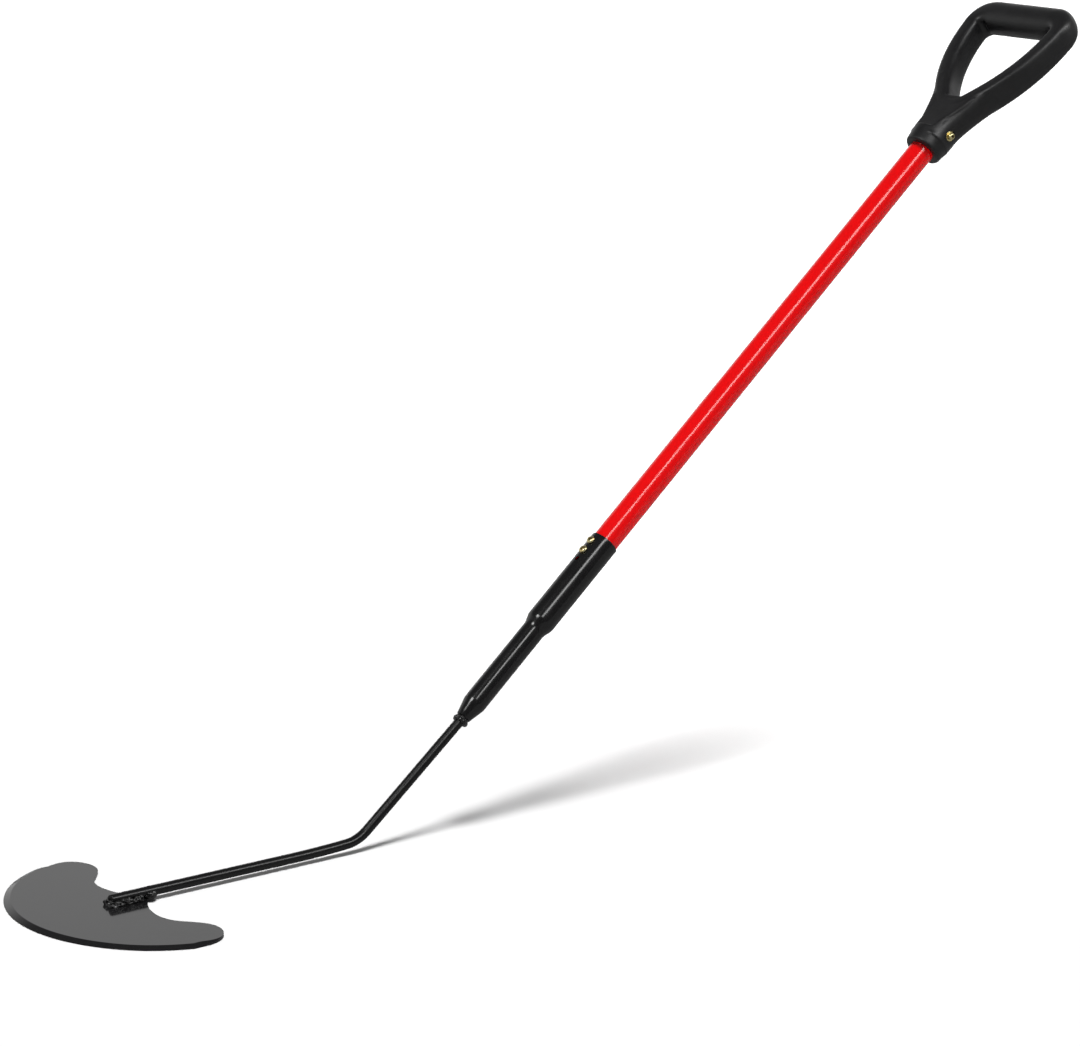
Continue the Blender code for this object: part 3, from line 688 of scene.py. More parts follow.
# %% [markdown]
# ## Weld beads
#
# A hand-held welder leaves a row of overlapping puddles. Carried along its path, the bead's round
# section swells and shrinks once per puddle, fine ripples lie across it, and slow noise pushes it
# out of shape. Sculpting would give the same look, but a formula keeps the bead on its seam.

# %% One bead along a path
BEAD_SIDES = 56
BEAD_STEP = 0.00035
PUDDLE = 0.0062
PUDDLE_SWELL = 0.22
PUDDLE_SINK = 0.10
RIPPLE = 0.0013
RIPPLE_SWELL = 0.022
RIPPLE_LEAN = 0.0009
BEAD_LUMPS = ((0.0070, 0.20), (0.0026, 0.16))


def lumpy(points, lumps, seed):
    """Sum of waves in several sizes, given as rows of (size, height)."""
    return sum(height * waves(points, size, seed + number)
               for number, (size, height) in enumerate(lumps))


def bead_rows(centre, direction, radius, distance, seed):
    """Rings round a path: r (1 + puddles + ripples + noise), square to the path's direction.

    Puddles are |sin| of the distance, which gives round swellings with creases between them, and
    ripples are a finer sine that leans back round the bead.
    """
    up = np.array([0.0, 0.0, 1.0])
    across = np.cross(direction, up)
    across /= np.linalg.norm(across, axis=1, keepdims=True)
    above = np.cross(across, direction)
    a = full_turn(BEAD_SIDES)
    around = (np.cos(a)[..., None] * above[:, None] + np.sin(a)[..., None] * across[:, None])
    rough = centre[:, None] + around * radius[:, None, None]
    lean = distance[:, None] + RIPPLE_LEAN * np.cos(a)
    swell = PUDDLE_SWELL * np.abs(np.sin(math.pi * lean / PUDDLE)) - PUDDLE_SINK
    ripple = RIPPLE_SWELL * np.sin(2 * math.pi * lean / RIPPLE)
    lumps = lumpy(rough, BEAD_LUMPS, seed)
    return centre[:, None] + around * (radius[:, None] * (1 + swell + ripple + lumps))[..., None]


def ends_rounded(radius, distance, reach):
    """Radius that closes like a ball at both ends: r sqrt(1 - (1 - s)^2), s the share of reach."""
    near = np.minimum(distance, distance[-1] - distance) / reach
    return radius * np.sqrt(np.clip(1 - (1 - np.clip(near, 0, 1)) ** 2, 0.0004, 1))


def plan_line(line):
    """Distance along a plan line, and its direction as unit vectors in the XY plane."""
    steps = np.linalg.norm(np.diff(line[:, :2], axis=0), axis=1)
    distance = np.concatenate([[0], np.cumsum(steps)])
    heading = line[:, 2]
    return distance, np.stack([np.cos(heading), np.sin(heading), 0 * heading], 1)


def lay_bead(name, node, line, size, height, reach, floor, seed):
    """Bead along a plan line at a height, flattened where it would sink below the floor."""
    distance, direction = plan_line(line)
    centre = np.stack([line[:, 0], line[:, 1], np.full(len(line), height)], 1)
    radius = ends_rounded(np.full(len(line), size), distance, reach)
    grid = bead_rows(centre, direction, radius, distance, seed)
    grid[..., 2] = np.maximum(grid[..., 2], floor)
    put(name, skin(grid), weld_paint, [node])


# %% The bead round the bar's end
BEAD_RADIUS = 0.0034
BEAD_SETBACK = 0.0045
BEAD_SINK = 0.45
BEAD_FLOOR = BLADE_THICKNESS * 0.4
NOSE_REACH = 0.0002
NOSE_BEND = 0.0030
NOSE_STEP = math.radians(4)


def make_rod_weld():
    """Path up one side of the bar, round its end and back down the other."""
    side = ROD_RADIUS + BEAD_RADIUS * BEAD_SINK
    run = TONGUE_REACH - BEAD_SETBACK - (ROD_START - NOSE_REACH + NOSE_BEND)
    line = np.array([[TONGUE_REACH - BEAD_SETBACK, -side, math.pi]])
    for stretch in (run, 2 * (side - NOSE_BEND)):
        line = straight(line, stretch, BEAD_STEP)
        line = bend(line, NOSE_BEND, -math.pi / 2, NOSE_STEP)
    line = straight(line, run, BEAD_STEP)
    lay_bead("bar_weld_bead", "blade_weld", line, BEAD_RADIUS,
             BLADE_THICKNESS + BEAD_RADIUS * BEAD_SINK, BEAD_RADIUS, BEAD_FLOOR, seed=5)


make_rod_weld()

# %% The lump behind the tongue
HEEL_RADIUS = 0.0045
HEEL_HALF_WIDTH = 0.0085
HEEL_HEIGHT = HEEL_RADIUS * 1.16 + FIT

heel_line = np.array([[TONGUE_REACH + HEEL_RADIUS, -HEEL_HALF_WIDTH, math.pi / 2]])
heel_line = straight(heel_line, 2 * HEEL_HALF_WIDTH, BEAD_STEP)
lay_bead("heel_weld_lump", "blade_weld_heel", heel_line, HEEL_RADIUS, HEEL_HEIGHT,
         HEEL_RADIUS * 0.8, FIT, seed=11)

# %% [markdown]
# ## Pieces on the handle's axis
#
# From the ferrule upwards everything is turned or set square on one straight axis. Each piece is
# made upright, where a profile of height and radius is enough, and one matrix then lays it over to
# the handle's lean. The matrix goes into the points, so every object stays at the origin.

# %% The handle's own axes
mouth_x, mouth_z, _ = bar_to_mouth()[-1]
axis = Vector((math.cos(HANDLE_LEAN), 0.0, math.sin(HANDLE_LEAN)))
mouth = Vector((mouth_x, 0.0, mouth_z))
upper_side = Vector((-math.sin(HANDLE_LEAN), 0.0, math.cos(HANDLE_LEAN)))


def on_handle(points):
    """Upright points (towards -upper side, Y, height) laid onto the handle's axis."""
    frame_axes = np.array([-upper_side, (0, 1, 0), axis])
    return np.asarray(points, float) @ frame_axes + np.array(mouth)


def laid_skin(grid, loop=False):
    """Closed skin over an upright grid, laid onto the handle's axis."""
    points, faces = skin(grid, loop)
    return on_handle(points), faces


def about_axis(radius, height, a):
    """Points (r cos a, r sin a, height), with a row of angles for each height."""
    return np.stack([radius * np.cos(a), radius * np.sin(a), height + 0 * a], -1)


def turned(profile, sides):
    """Surface of revolution: each (height, radius) point goes once round the axis."""
    return about_axis(profile[:, 1, None], profile[:, 0, None], full_turn(sides))


def moved(mesh, move):
    """Mesh with all its points sent through a function of points x 3."""
    co = np.empty(len(mesh.vertices) * 3)
    mesh.vertices.foreach_get("co", co)
    mesh.vertices.foreach_set("co", move(co.reshape(-1, 3)).ravel())
    mesh.update()
    return mesh


def evaluated(work):
    """Mesh of a work object with its modifiers applied. The object itself is removed."""
    graph = bpy.context.evaluated_depsgraph_get()
    mesh = bpy.data.meshes.new_from_object(work.evaluated_get(graph), depsgraph=graph)
    bpy.data.objects.remove(work)
    return mesh


def carved(mesh, cutters, sharp=40.0):
    """Mesh with other bodies cut away, each given by its points and faces."""
    work = linked("work", mesh)
    tools = [linked("tool", mesh_from("tool", *cutter)) for cutter in cutters]
    for tool in tools:
        step = work.modifiers.new("carve", "BOOLEAN")
        step.object, step.operation, step.solver = tool, "DIFFERENCE", "EXACT"
    made = evaluated(work)
    for tool in tools:
        bpy.data.objects.remove(tool)
    made.shade_smooth()
    made.set_sharp_from_angle(angle=math.radians(sharp))
    return made


print("handle starts at", tuple(round(v, 4) for v in mouth))

# %% [markdown]
# ## The ferrule
#
# The ferrule is one steel tube, swaged down twice: a wide seat for the handle, a narrower waist
# and a cone that closes on the bar. Three holes are drilled near its rim. Two hold screws and the
# third stays empty. The wall is real, so the empty hole is a true hole with the tube behind it.

# %% Swaged tube with three holes
TUBE_RADIUS = 0.0127
FERRULE_WALL = 0.0010
MOUTH_RADIUS = 0.0070
CONE_LENGTH = 0.0170
WAIST_RADIUS = 0.0111
SHOULDER_START = 0.1090
SHOULDER_LENGTH = 0.0120
FERRULE_LENGTH = 0.2210
SCREW_FROM_RIM = (0.0095, 0.0215, 0.0320)
SCREW_SHANK = 0.0042
SCREW_HOLE = SCREW_SHANK / 2 + FIT
FERRULE_STEP = 0.0060
MOUTH_ROUND = 0.0004
CONE_ROUND = 0.0022
INNER_CONE_START = 0.0030
RIM_ROUNDS = (0.00025, 0.00015)
RIM_RUN = 0.0040
PIN_START = 0.0040
SEAT_BORE = TUBE_RADIUS + FIT
SEAT_RADIUS = SEAT_BORE + FERRULE_WALL
TURNED_SIDES = 128


def side_pins(radii, far):
    """Round cutters out of the bore through the handle's upper side, one for each hole."""
    pins = []
    for radius, below in zip(radii, SCREW_FROM_RIM):
        pin = turned(np.array([[PIN_START, radius], [far, radius]]), 32)
        height = FERRULE_LENGTH - below
        pins.append(laid_skin(np.stack([-pin[..., 2], pin[..., 1], height + pin[..., 0]], -1)))
    return pins


def make_ferrule():
    """Wall turned in one loop: up the outside, over the rim and down the bore."""
    shoulder = np.linspace(0, 1, 15)
    rise = smooth_step(shoulder)
    heights = SHOULDER_START + SHOULDER_LENGTH * shoulder
    waist_bore = WAIST_RADIUS - FERRULE_WALL
    profile = np.concatenate([
        rounded([[0, ROD_RADIUS + FIT], [0, MOUTH_RADIUS], [CONE_LENGTH, WAIST_RADIUS],
                 [SHOULDER_START - 0.001, WAIST_RADIUS]], [0, MOUTH_ROUND, CONE_ROUND, 0]),
        np.stack([heights, WAIST_RADIUS + (SEAT_RADIUS - WAIST_RADIUS) * rise], 1),
        rounded([[FERRULE_LENGTH - RIM_RUN, SEAT_RADIUS], [FERRULE_LENGTH, SEAT_RADIUS],
                 [FERRULE_LENGTH, SEAT_BORE], [FERRULE_LENGTH - RIM_RUN, SEAT_BORE]],
                [0, *RIM_ROUNDS, 0]),
        np.stack([heights, waist_bore + (SEAT_BORE - waist_bore) * rise], 1)[::-1],
        [[CONE_LENGTH, waist_bore], [INNER_CONE_START, ROD_RADIUS + FIT]]])
    wall = laid_skin(turned(along(profile, FERRULE_STEP), TURNED_SIDES), loop=True)
    holes = side_pins([SCREW_HOLE] * 3, SEAT_RADIUS * 1.5)
    put("swaged_ferrule", carved(mesh_from("swaged_ferrule", *wall), holes), black_enamel,
        ["ferrule"])


make_ferrule()

# %% The ring of weld at its mouth
COLLAR_HEIGHT = 0.0062
COLLAR_RADIUS = 0.0072
COLLAR_BITE = 0.0004
COLLAR_PUDDLES = 7
COLLAR_SWELL = 0.24
COLLAR_LUMPS = ((0.0060, 0.00055), (0.0024, 0.00022))


def make_mouth_weld():
    """Ring of puddles round the bar: a half-round profile whose swell changes round the axis."""
    s = np.linspace(0, math.pi, 40)
    profile = np.stack([-COLLAR_HEIGHT * (0.5 + 0.5 * np.cos(s)), np.sin(s) ** 0.75], 1)
    a = full_turn(160)
    inner = ROD_RADIUS - COLLAR_BITE
    puddles = COLLAR_SWELL * np.abs(np.sin(COLLAR_PUDDLES / 2 * a + 0.6)) - COLLAR_SWELL / 2
    radius = inner + (COLLAR_RADIUS - inner) * profile[:, 1, None] * (1 + puddles)
    height = profile[:, 0, None] + 0.0004 * np.sin(2 * a) - FIT
    push = lumpy(about_axis(radius, height, a), COLLAR_LUMPS, seed=21)
    grid = about_axis(radius + push * profile[:, 1, None], height, a)
    put("mouth_weld_ring", laid_skin(grid), weld_paint, ["neck_weld"])


make_mouth_weld()

# %% [markdown]
# ## Screws, bolt and washers
#
# A pan head is a low dome with a cross recess. The dome is turned, and the recess is cut with two
# tapered bars, as the punch that forms the real one is tapered. The same function makes the two
# tapping screws and the cross bolt.

# %% Pan head screws
SCREW_HEAD = 0.0082
SCREW_HEAD_HEIGHT = 0.0026
SCREW_GRIP = 0.0090
RECESS_WIDTH = 0.0014
RECESS_SPAN = 0.52
RECESS_DEPTH = 0.75
RECESS_FOOT = (0.62, 0.60)
RECESS_TOP = (1.06, 1.10)
RECESS_CREASE = 32.0
DOME_START = math.radians(8)
DOME_FOOT = 0.30
DOME_PULL = 0.52
THREAD_PITCH = 0.0014
THREAD_DEPTH = 0.00035


def tapered_bar(length, width, depth, height, quarter):
    """Cutter of a recess: a block whose foot is narrower and shorter than its top."""
    corners = np.array([(-1, -1), (1, -1), (1, 1), (-1, 1)]) * 0.5
    sizes = np.array([RECESS_FOOT, (1, 1), RECESS_TOP]) * [length, width]
    grid = np.stack([np.concatenate([corners * size, np.full((4, 1), z)], 1)
                     for size, z in zip(sizes, (height - depth, height, height + depth))])
    if quarter:
        grid = np.stack([-grid[..., 1], grid[..., 0], grid[..., 2]], -1)
    return skin(grid)


def pan_screw(name, shank, head, head_height, length, pitch, place):
    """Turned pan head and threaded shank along Z, with a cross recess, then put in place."""
    dome = np.linspace(DOME_START, math.pi / 2, 14)
    crown = np.stack([head_height * (DOME_FOOT + (1 - DOME_FOOT) * np.sin(dome)),
                      head / 2 * (1 - DOME_PULL * (1 - np.cos(dome)))], 1)[:-1]
    centre = [[head_height, head * 0.20], [head_height, head * 0.08]]
    seat = rounded([[-0.0004, shank / 2], [0, shank / 2], [0, head / 2],
                    [head_height * 0.35, head / 2 * 0.999]], [0, 0.0001, 0.0003, 0])
    turns = np.arange(math.floor(length / pitch) * 2)
    thread = np.stack([-length + turns * pitch / 2,
                       shank / 2 - THREAD_DEPTH * (turns % 2 == 0)], 1)[1:-1]
    tip = np.array([[-length - 0.0002, shank * 0.30]])
    profile = np.concatenate([tip, thread, seat, crown, centre])
    mesh = mesh_from(name, *skin(turned(profile, 64)))
    bars = [tapered_bar(head * RECESS_SPAN, RECESS_WIDTH, head_height * RECESS_DEPTH,
                        head_height, quarter) for quarter in (False, True)]
    return moved(carved(mesh, bars, RECESS_CREASE), lambda points: on_handle(place(points)))


def spun(points, turn):
    """X, Y and Z of points turned about Z."""
    c, s = math.cos(turn), math.sin(turn)
    x, y, z = points.T
    return c * x - s * y, s * x + c * y, z


def on_upper_side(height, turn):
    """Function that turns upright points and sets them on the ferrule's upper side."""
    def move(points):
        x, y, z = spun(points, turn)
        return np.stack([-(SEAT_RADIUS + FIT + z), y, height + x], 1)
    return move


SCREWS = (("tapping_screw_top", "ferrule_screw_upper", 0.5),
          ("tapping_screw_low", "ferrule_screw_lower", 1.1))

for (name, node, turn), below in zip(SCREWS, SCREW_FROM_RIM):
    screw = pan_screw(name, SCREW_SHANK, SCREW_HEAD, SCREW_HEAD_HEIGHT, SCREW_GRIP, THREAD_PITCH,
                      on_upper_side(FERRULE_LENGTH - below, turn))
    put(name, screw, zinc, [node])

# %% [markdown]
# ## The red tube
#
# Between the ferrule and the grip only a plain tube shows. Its ends are inside its neighbours. It
# is a real tube with a wall all the same, so it is right from every side and when the grip is
# taken off.

# %% Tube
TUBE_WALL = 0.0012
TUBE_ROUND = 0.0003
TUBE_STEP = 0.0120
TUBE_HOLES = (SCREW_HOLE, SCREW_HOLE, 0.0032)
GRIP_MOUTH = 0.7464
SOCKET_DEPTH = 0.0600
TUBE_START = SHOULDER_START + SHOULDER_LENGTH + FIT
TUBE_END = GRIP_MOUTH + SOCKET_DEPTH - FIT


def make_tube():
    """Wall with rounded ends, drilled for two screws and for the hole that stays empty."""
    bore = TUBE_RADIUS - TUBE_WALL
    corners = [[TUBE_START, TUBE_RADIUS], [TUBE_END, TUBE_RADIUS],
               [TUBE_END, bore], [TUBE_START, bore]]
    profile = rounded(corners, TUBE_ROUND, closed=True)
    profile = along(np.concatenate([profile, profile[:1]]), TUBE_STEP)[:-1]
    grid = turned(profile, TURNED_SIDES)
    mesh = mesh_from("red_handle_tube", *laid_skin(grid, loop=True))
    put("red_handle_tube", carved(mesh, side_pins(TUBE_HOLES, SEAT_RADIUS)), red_enamel,
        ["handle_tube"])


make_tube()

# %% [markdown]
# ## The D-shaped grip
#
# The grip is one moulding: a round bar for the hand, two arms with a rounded box section, and a
# socket that widens into a flat web between the arms. Each of these is a grid of its own. They
# overlap, and a voxel remesh followed by a little smoothing fuses them with the soft fillets that
# a mould has. A Boolean union would leave sharp creases there.

# %% The D's middle line and section
RING_DROP = 0.0012
BAR_REACH = 0.1837
BAR_HALF_STRAIGHT = 0.0424
BAR_HALF_DEPTH = 0.0174
BAR_HALF_THICKNESS = 0.0160
CORNER_RADIUS = 0.0181
CORNER_TURN = math.radians(92.9)
ARM_RADIUS = 0.1577
ARM_TURN = math.radians(35.4)
ARM_HALF_DEPTH = 0.0091
ARM_TOP_THICKNESS = 0.0141
ARM_FOOT_THICKNESS = 0.0155
ARM_SQUARENESS = 3.6
CROTCH_RADIUS = 0.0225
SECTION_SIDES = 96
BAR_SHARE = 0.9
CORNER_SHARE = 1.1


def ring_line():
    """Half of the D as (across, up, heading): bar, corner, arm and crotch."""
    line = np.array([[0.0, BAR_REACH, 0.0]])
    line = straight(line, BAR_HALF_STRAIGHT, 0.0015)
    line = bend(line, CORNER_RADIUS, -CORNER_TURN, math.radians(2))
    line = bend(line, ARM_RADIUS, -ARM_TURN, math.radians(0.5))
    heading = line[-1, 2]
    drop = CROTCH_RADIUS * math.sin(-heading)
    line = straight(line, (line[-1, 0] - drop) / -math.cos(heading), 0.0015)
    return bend(line, CROTCH_RADIUS, -math.pi - heading, math.radians(3))


def power_circle(squareness, sides):
    """Unit superellipse: |cos a|^(2/n) and |sin a|^(2/n) with their signs, one row per n."""
    a = full_turn(sides)
    n = np.asarray(squareness)[:, None]
    c, s = np.cos(a), np.sin(a)
    return np.sign(c) * np.abs(c) ** (2 / n), np.sign(s) * np.abs(s) ** (2 / n)


def grip_ring():
    """Closed sweep whose section turns from the bar's circle into the arms' rounded box."""
    line = ring_line()
    distance, _ = plan_line(line)
    bar_end = BAR_HALF_STRAIGHT * BAR_SHARE
    arm_start = BAR_HALF_STRAIGHT + CORNER_RADIUS * CORNER_TURN * CORNER_SHARE
    share = smooth_step((distance - bar_end) / (arm_start - bar_end))
    down = np.clip((distance - arm_start) / (distance[-1] - arm_start), 0, 1)
    arm = ARM_TOP_THICKNESS + (ARM_FOOT_THICKNESS - ARM_TOP_THICKNESS) * down
    depth = BAR_HALF_DEPTH + (ARM_HALF_DEPTH - BAR_HALF_DEPTH) * share
    thickness = BAR_HALF_THICKNESS + (arm - BAR_HALF_THICKNESS) * share
    c, s = power_circle(2 + (ARM_SQUARENESS - 2) * share, SECTION_SIDES)
    out, up = c * depth[:, None], s * thickness[:, None]
    y, z, heading = line.T[:, :, None]
    half = np.stack([RING_DROP - up, y - out * np.sin(heading), z + out * np.cos(heading)], -1)
    return np.concatenate([half, half[::-1][1:-1] * [1, -1, 1]])


# %% The socket, the two lobes and the web
LIP_RADIUS = 0.0196
LIP_ROUND = 0.0025
SOCKET_RADIUS = 0.0214
NECK_START = 0.0200
SOCKET_REACH = 0.0340
LOBE_FOOT = (0.0060, 0.0120)
LOBE_HEAD = (0.0384, 0.0919)
LOBE_TURN = math.radians(59.2)
LOBE_PULL = 0.0850
LOBE_DROP_SHARE = 0.6
LOBE_DEPTHS = (0.0154, 0.0125, 0.0080)
LOBE_THICKNESSES = (0.0190, 0.0150, 0.0152)
LOBE_SQUARENESS = (2.0, 2.4, 2.8)
WEB_START = 0.0190
WEB_REACH = 0.0685
WEB_LAP = 0.0040
WEB_SPAN = (0.0107, 0.0315)
WEB_BELLY = 0.0022
WEB_SQUARENESS = 14.0
WEB_HEIGHTS = (0.0182, 0.0138)


def through(values, t):
    """Parabola through three values, at t = 0, 1/2 and 1."""
    a, b, c = values
    return a + (-3 * a + 4 * b - c) * t + (2 * a - 4 * b + 2 * c) * t ** 2


def web_edge(height):
    """Half width of the flat web and its height over the axis, at heights above the mouth."""
    t = np.clip((height - WEB_START) / (WEB_REACH - WEB_START), 0, 1)
    span = WEB_SPAN[0] + (WEB_SPAN[1] - WEB_SPAN[0]) * t + WEB_BELLY * t * (1 - t)
    return span, WEB_HEIGHTS[1] + (WEB_HEIGHTS[0] - WEB_HEIGHTS[1]) * (1 - t) ** 2.2


def flattened(grid):
    """Pushes what stands over the web, between its two edges, down to the web's height."""
    span, level = web_edge(grid[..., 2])
    inside = (np.abs(grid[..., 1]) < span) & (grid[..., 2] > WEB_START)
    up = np.where(inside, np.minimum(-grid[..., 0], level), -grid[..., 0])
    return np.stack([-up, grid[..., 1], grid[..., 2]], -1)


def grip_socket():
    """Turned socket: a rounded lip, then a radius that grows to the full one."""
    a = np.linspace(0, math.pi / 2, 8)
    lip = np.stack([LIP_ROUND * (1 - np.cos(a)), LIP_RADIUS - LIP_ROUND * (1 - np.sin(a))], 1)
    height = np.linspace(2 * LIP_ROUND, SOCKET_REACH, 40)
    grow = smooth_step(height / NECK_START)
    wall = np.stack([height, LIP_RADIUS + (SOCKET_RADIUS - LIP_RADIUS) * grow], 1)
    return flattened(turned(np.concatenate([lip, wall]), 240))


def grip_lobe(side):
    """Flank from the socket into one arm: superellipses along a Hermite curve.

    The curve is p = h00 P0 + h10 m0 + h01 P1 + h11 m1, straight up at its foot and leaning with
    the arm at its head.
    """
    t = np.linspace(0, 1, 90)[:, None]
    foot, head = np.array(LOBE_FOOT), np.array(LOBE_HEAD)
    rise = np.array([0.0, LOBE_PULL])
    lean = LOBE_PULL * np.array([math.cos(LOBE_TURN), math.sin(LOBE_TURN)])
    p = ((2 * t ** 3 - 3 * t ** 2 + 1) * foot + (t ** 3 - 2 * t ** 2 + t) * rise
         + (3 * t ** 2 - 2 * t ** 3) * head + (t ** 3 - t ** 2) * lean)
    d = ((6 * t ** 2 - 6 * t) * (foot - head) + (3 * t ** 2 - 4 * t + 1) * rise
         + (3 * t ** 2 - 2 * t) * lean)
    d /= np.linalg.norm(d, axis=1, keepdims=True)
    c, s = power_circle(through(LOBE_SQUARENESS, t)[:, 0], SECTION_SIDES)
    out, up = c * through(LOBE_DEPTHS, t), s * through(LOBE_THICKNESSES, t)
    drop = RING_DROP * smooth_step(t / LOBE_DROP_SHARE)
    grid = flattened(np.stack([drop - up, p[:, :1] + out * d[:, 1:],
                               p[:, 1:] - out * d[:, :1]], -1))
    return grid if side > 0 else (grid * [1, -1, 1])[:, ::-1]


def grip_web():
    """Flat slab between the lobes, from inside the socket up to the crotch of the D."""
    height = np.linspace(WEB_START, WEB_REACH - WEB_LAP, 60)[:, None]
    span, level = web_edge(height)
    c, s = power_circle(np.full(len(height), WEB_SQUARENESS), SECTION_SIDES)
    return np.stack([-s * level, -c * span, height + 0 * c], -1)


# %% Fuse, smooth and bore the grip
VOXEL = 0.0008
BOLT_HEIGHT = GRIP_MOUTH + 0.0236
BOLT_DIAMETER = 0.0050
BOLT_HOLE = BOLT_DIAMETER / 2 + FIT
WASHER_DIAMETER = 0.0102
WASHER_SEAT = SOCKET_RADIUS - 0.0012
PIN_REACH = 0.0500
BORE_LEAD = 0.0040
CREASE_RUN = (0.0205, 0.0600)
CREASE_RADIUS = 0.0011
CREASE_LIFT = 0.0004


def lifted(grid):
    """Points measured from the socket's mouth, moved up the handle."""
    return grid + np.array([0, 0, GRIP_MOUTH])


def crease_cutter(side):
    """Thin round bar along one edge of the web, sunk a little: it leaves the crease."""
    height = np.linspace(*CREASE_RUN, 60)
    span, level = web_edge(height)
    fade = np.sin(math.pi * (height - CREASE_RUN[0]) / (CREASE_RUN[1] - CREASE_RUN[0])) ** 0.4
    radius = CREASE_RADIUS * np.maximum(fade, 0.02)
    a = full_turn(16)
    up = level[:, None] + CREASE_LIFT + radius[:, None] * np.cos(a)
    across = side * span[:, None] + radius[:, None] * np.sin(a)
    return laid_skin(lifted(np.stack([-up, across, height[:, None] + 0 * a], -1)))


def on_bolt(grid):
    """Upright grid laid along Y at the bolt's height."""
    return np.stack([grid[..., 1], grid[..., 2], BOLT_HEIGHT + grid[..., 0]], -1)


def cross_pin(radius, low, high):
    """Round cutter across the socket."""
    return laid_skin(on_bolt(turned(np.array([[low, radius], [high, radius]]), 48)))


def make_grip():
    """All parts in one mesh, fused by voxels and softened, then bored, spot-faced and creased."""
    parts = [skin(grip_ring(), loop=True)]
    parts += [skin(grid) for grid in (grip_socket(), grip_lobe(1), grip_lobe(-1), grip_web())]
    firsts = np.cumsum([0] + [len(points) for points, _ in parts])
    faces = [[corner + int(first) for corner in face]
             for (_, part), first in zip(parts, firsts) for face in part]
    points = lifted(np.concatenate([points for points, _ in parts]))
    work = linked("work", mesh_from("moulded_grip", points, faces))
    fuse = work.modifiers.new("fuse", "REMESH")
    fuse.mode, fuse.voxel_size, fuse.adaptivity = "VOXEL", VOXEL, 0.0
    soften = work.modifiers.new("soften", "SMOOTH")
    soften.factor, soften.iterations = 0.5, 6
    mesh = moved(evaluated(work), on_handle)
    bore = np.array([[GRIP_MOUTH - BORE_LEAD, SEAT_BORE], [GRIP_MOUTH + SOCKET_DEPTH, SEAT_BORE]])
    spot = WASHER_DIAMETER / 2 + FIT
    cutters = [laid_skin(turned(bore, TURNED_SIDES)),
               cross_pin(BOLT_HOLE, -PIN_REACH, PIN_REACH),
               cross_pin(spot, -PIN_REACH, -WASHER_SEAT), cross_pin(spot, WASHER_SEAT, PIN_REACH),
               crease_cutter(1), crease_cutter(-1)]
    put("moulded_d_grip", carved(mesh, cutters, sharp=38.0), plastic, ["d_grip"])


make_grip()

# %% [markdown]
# ## The cross bolt
#
# A bolt goes through the socket and the tube. Washers spread its load on flats sunk in the
# plastic, and a hexagon nut holds it on the far side.

# %% Bolt, washers and nut
BOLT_HEAD = 0.0072
BOLT_HEAD_HEIGHT = 0.0036
BOLT_SPARE = 0.0015
BOLT_PITCH = 0.0008
WASHER_THICKNESS = 0.0010
WASHER_ROUND = 0.0002
NUT_ACROSS_FLATS = 0.0080
NUT_HEIGHT = 0.0040
HEAD_SEAT = WASHER_SEAT + WASHER_THICKNESS + 2 * FIT
BOLT_TURN = 0.7


def across_socket(points):
    """Upright points with +Z towards -Y: the head's side of the bolt."""
    x, y, z = spun(points, BOLT_TURN)
    return np.stack([x, -(HEAD_SEAT + z), BOLT_HEIGHT + y], 1)


bolt = pan_screw("cross_bolt", BOLT_DIAMETER, BOLT_HEAD, BOLT_HEAD_HEIGHT,
                 2 * HEAD_SEAT + FIT + NUT_HEIGHT + BOLT_SPARE, BOLT_PITCH, across_socket)
put("cross_bolt", bolt, zinc, ["grip_bolt"])


def washer(name, side, node):
    """Ring with rounded corners, turned about the bolt."""
    low, rim = WASHER_SEAT + FIT, WASHER_DIAMETER / 2
    high = low + WASHER_THICKNESS
    corners = [[low, rim], [high, rim], [high, BOLT_HOLE], [low, BOLT_HOLE]]
    ring = turned(rounded(corners, WASHER_ROUND, closed=True), 72)
    laid = np.stack([ring[..., 0], side * ring[..., 2], BOLT_HEIGHT + side * -ring[..., 1]], -1)
    put(name, laid_skin(laid, loop=True), zinc, [node])


washer("washer_under_head", -1, "grip_washer_head")
washer("washer_under_nut", 1, "grip_washer_nut")


def make_nut():
    """Hexagon between chamfers: the radius is the smaller of the hexagon's and a cone's."""
    a = full_turn(96)
    flat = NUT_ACROSS_FLATS / 2
    hexagon = flat / np.cos((a + math.pi / 6) % (math.pi / 3) - math.pi / 6)
    heights = np.array([0, 0.08, 0.2, 0.8, 0.92, 1.0]) * NUT_HEIGHT
    cone = flat * np.array([0.97, 1.06, 1.16, 1.16, 1.06, 0.97])
    radius = np.concatenate([np.minimum(hexagon, cone[:, None]), np.full((2, a.size), BOLT_HOLE)])
    height = np.concatenate([heights, [NUT_HEIGHT, 0]])[:, None] + HEAD_SEAT
    put("hexagon_nut", laid_skin(on_bolt(about_axis(radius, height, a)), loop=True), zinc,
        ["grip_nut"], sharp=25.0)


make_nut()

# %% [markdown]
# ## Floor, light and camera
#
# The tool lies on a white table in front of a white backdrop. Three lamps do separate jobs, as in
# a studio: a wide one almost overhead gives the light and the soft shadow. A long strip on the
# camera's side is there only to be mirrored, as the thin bright line along every round piece, and
# so is a small soft box on the left, which shows on the shoulder, the cone and the welds. The room
# is white to the camera, and dark paint mirrors it as a bright backdrop low behind a quieter room.

# %% Floor
FLOOR_SIZE = 60.0
FLOOR_DROP = 0.0002
FLOOR_COLOUR = 0.86
FLOOR_IN_PAINT = 0.28
FLOOR_GLOW = 0.05
# Painted light on the floor, seen by the camera only: it grows over the far run of X and washes out
# the shadow there.
FAR_PAINTED_LIGHT = 0.33
FAR_FLOOR = (0.66, 1.03)


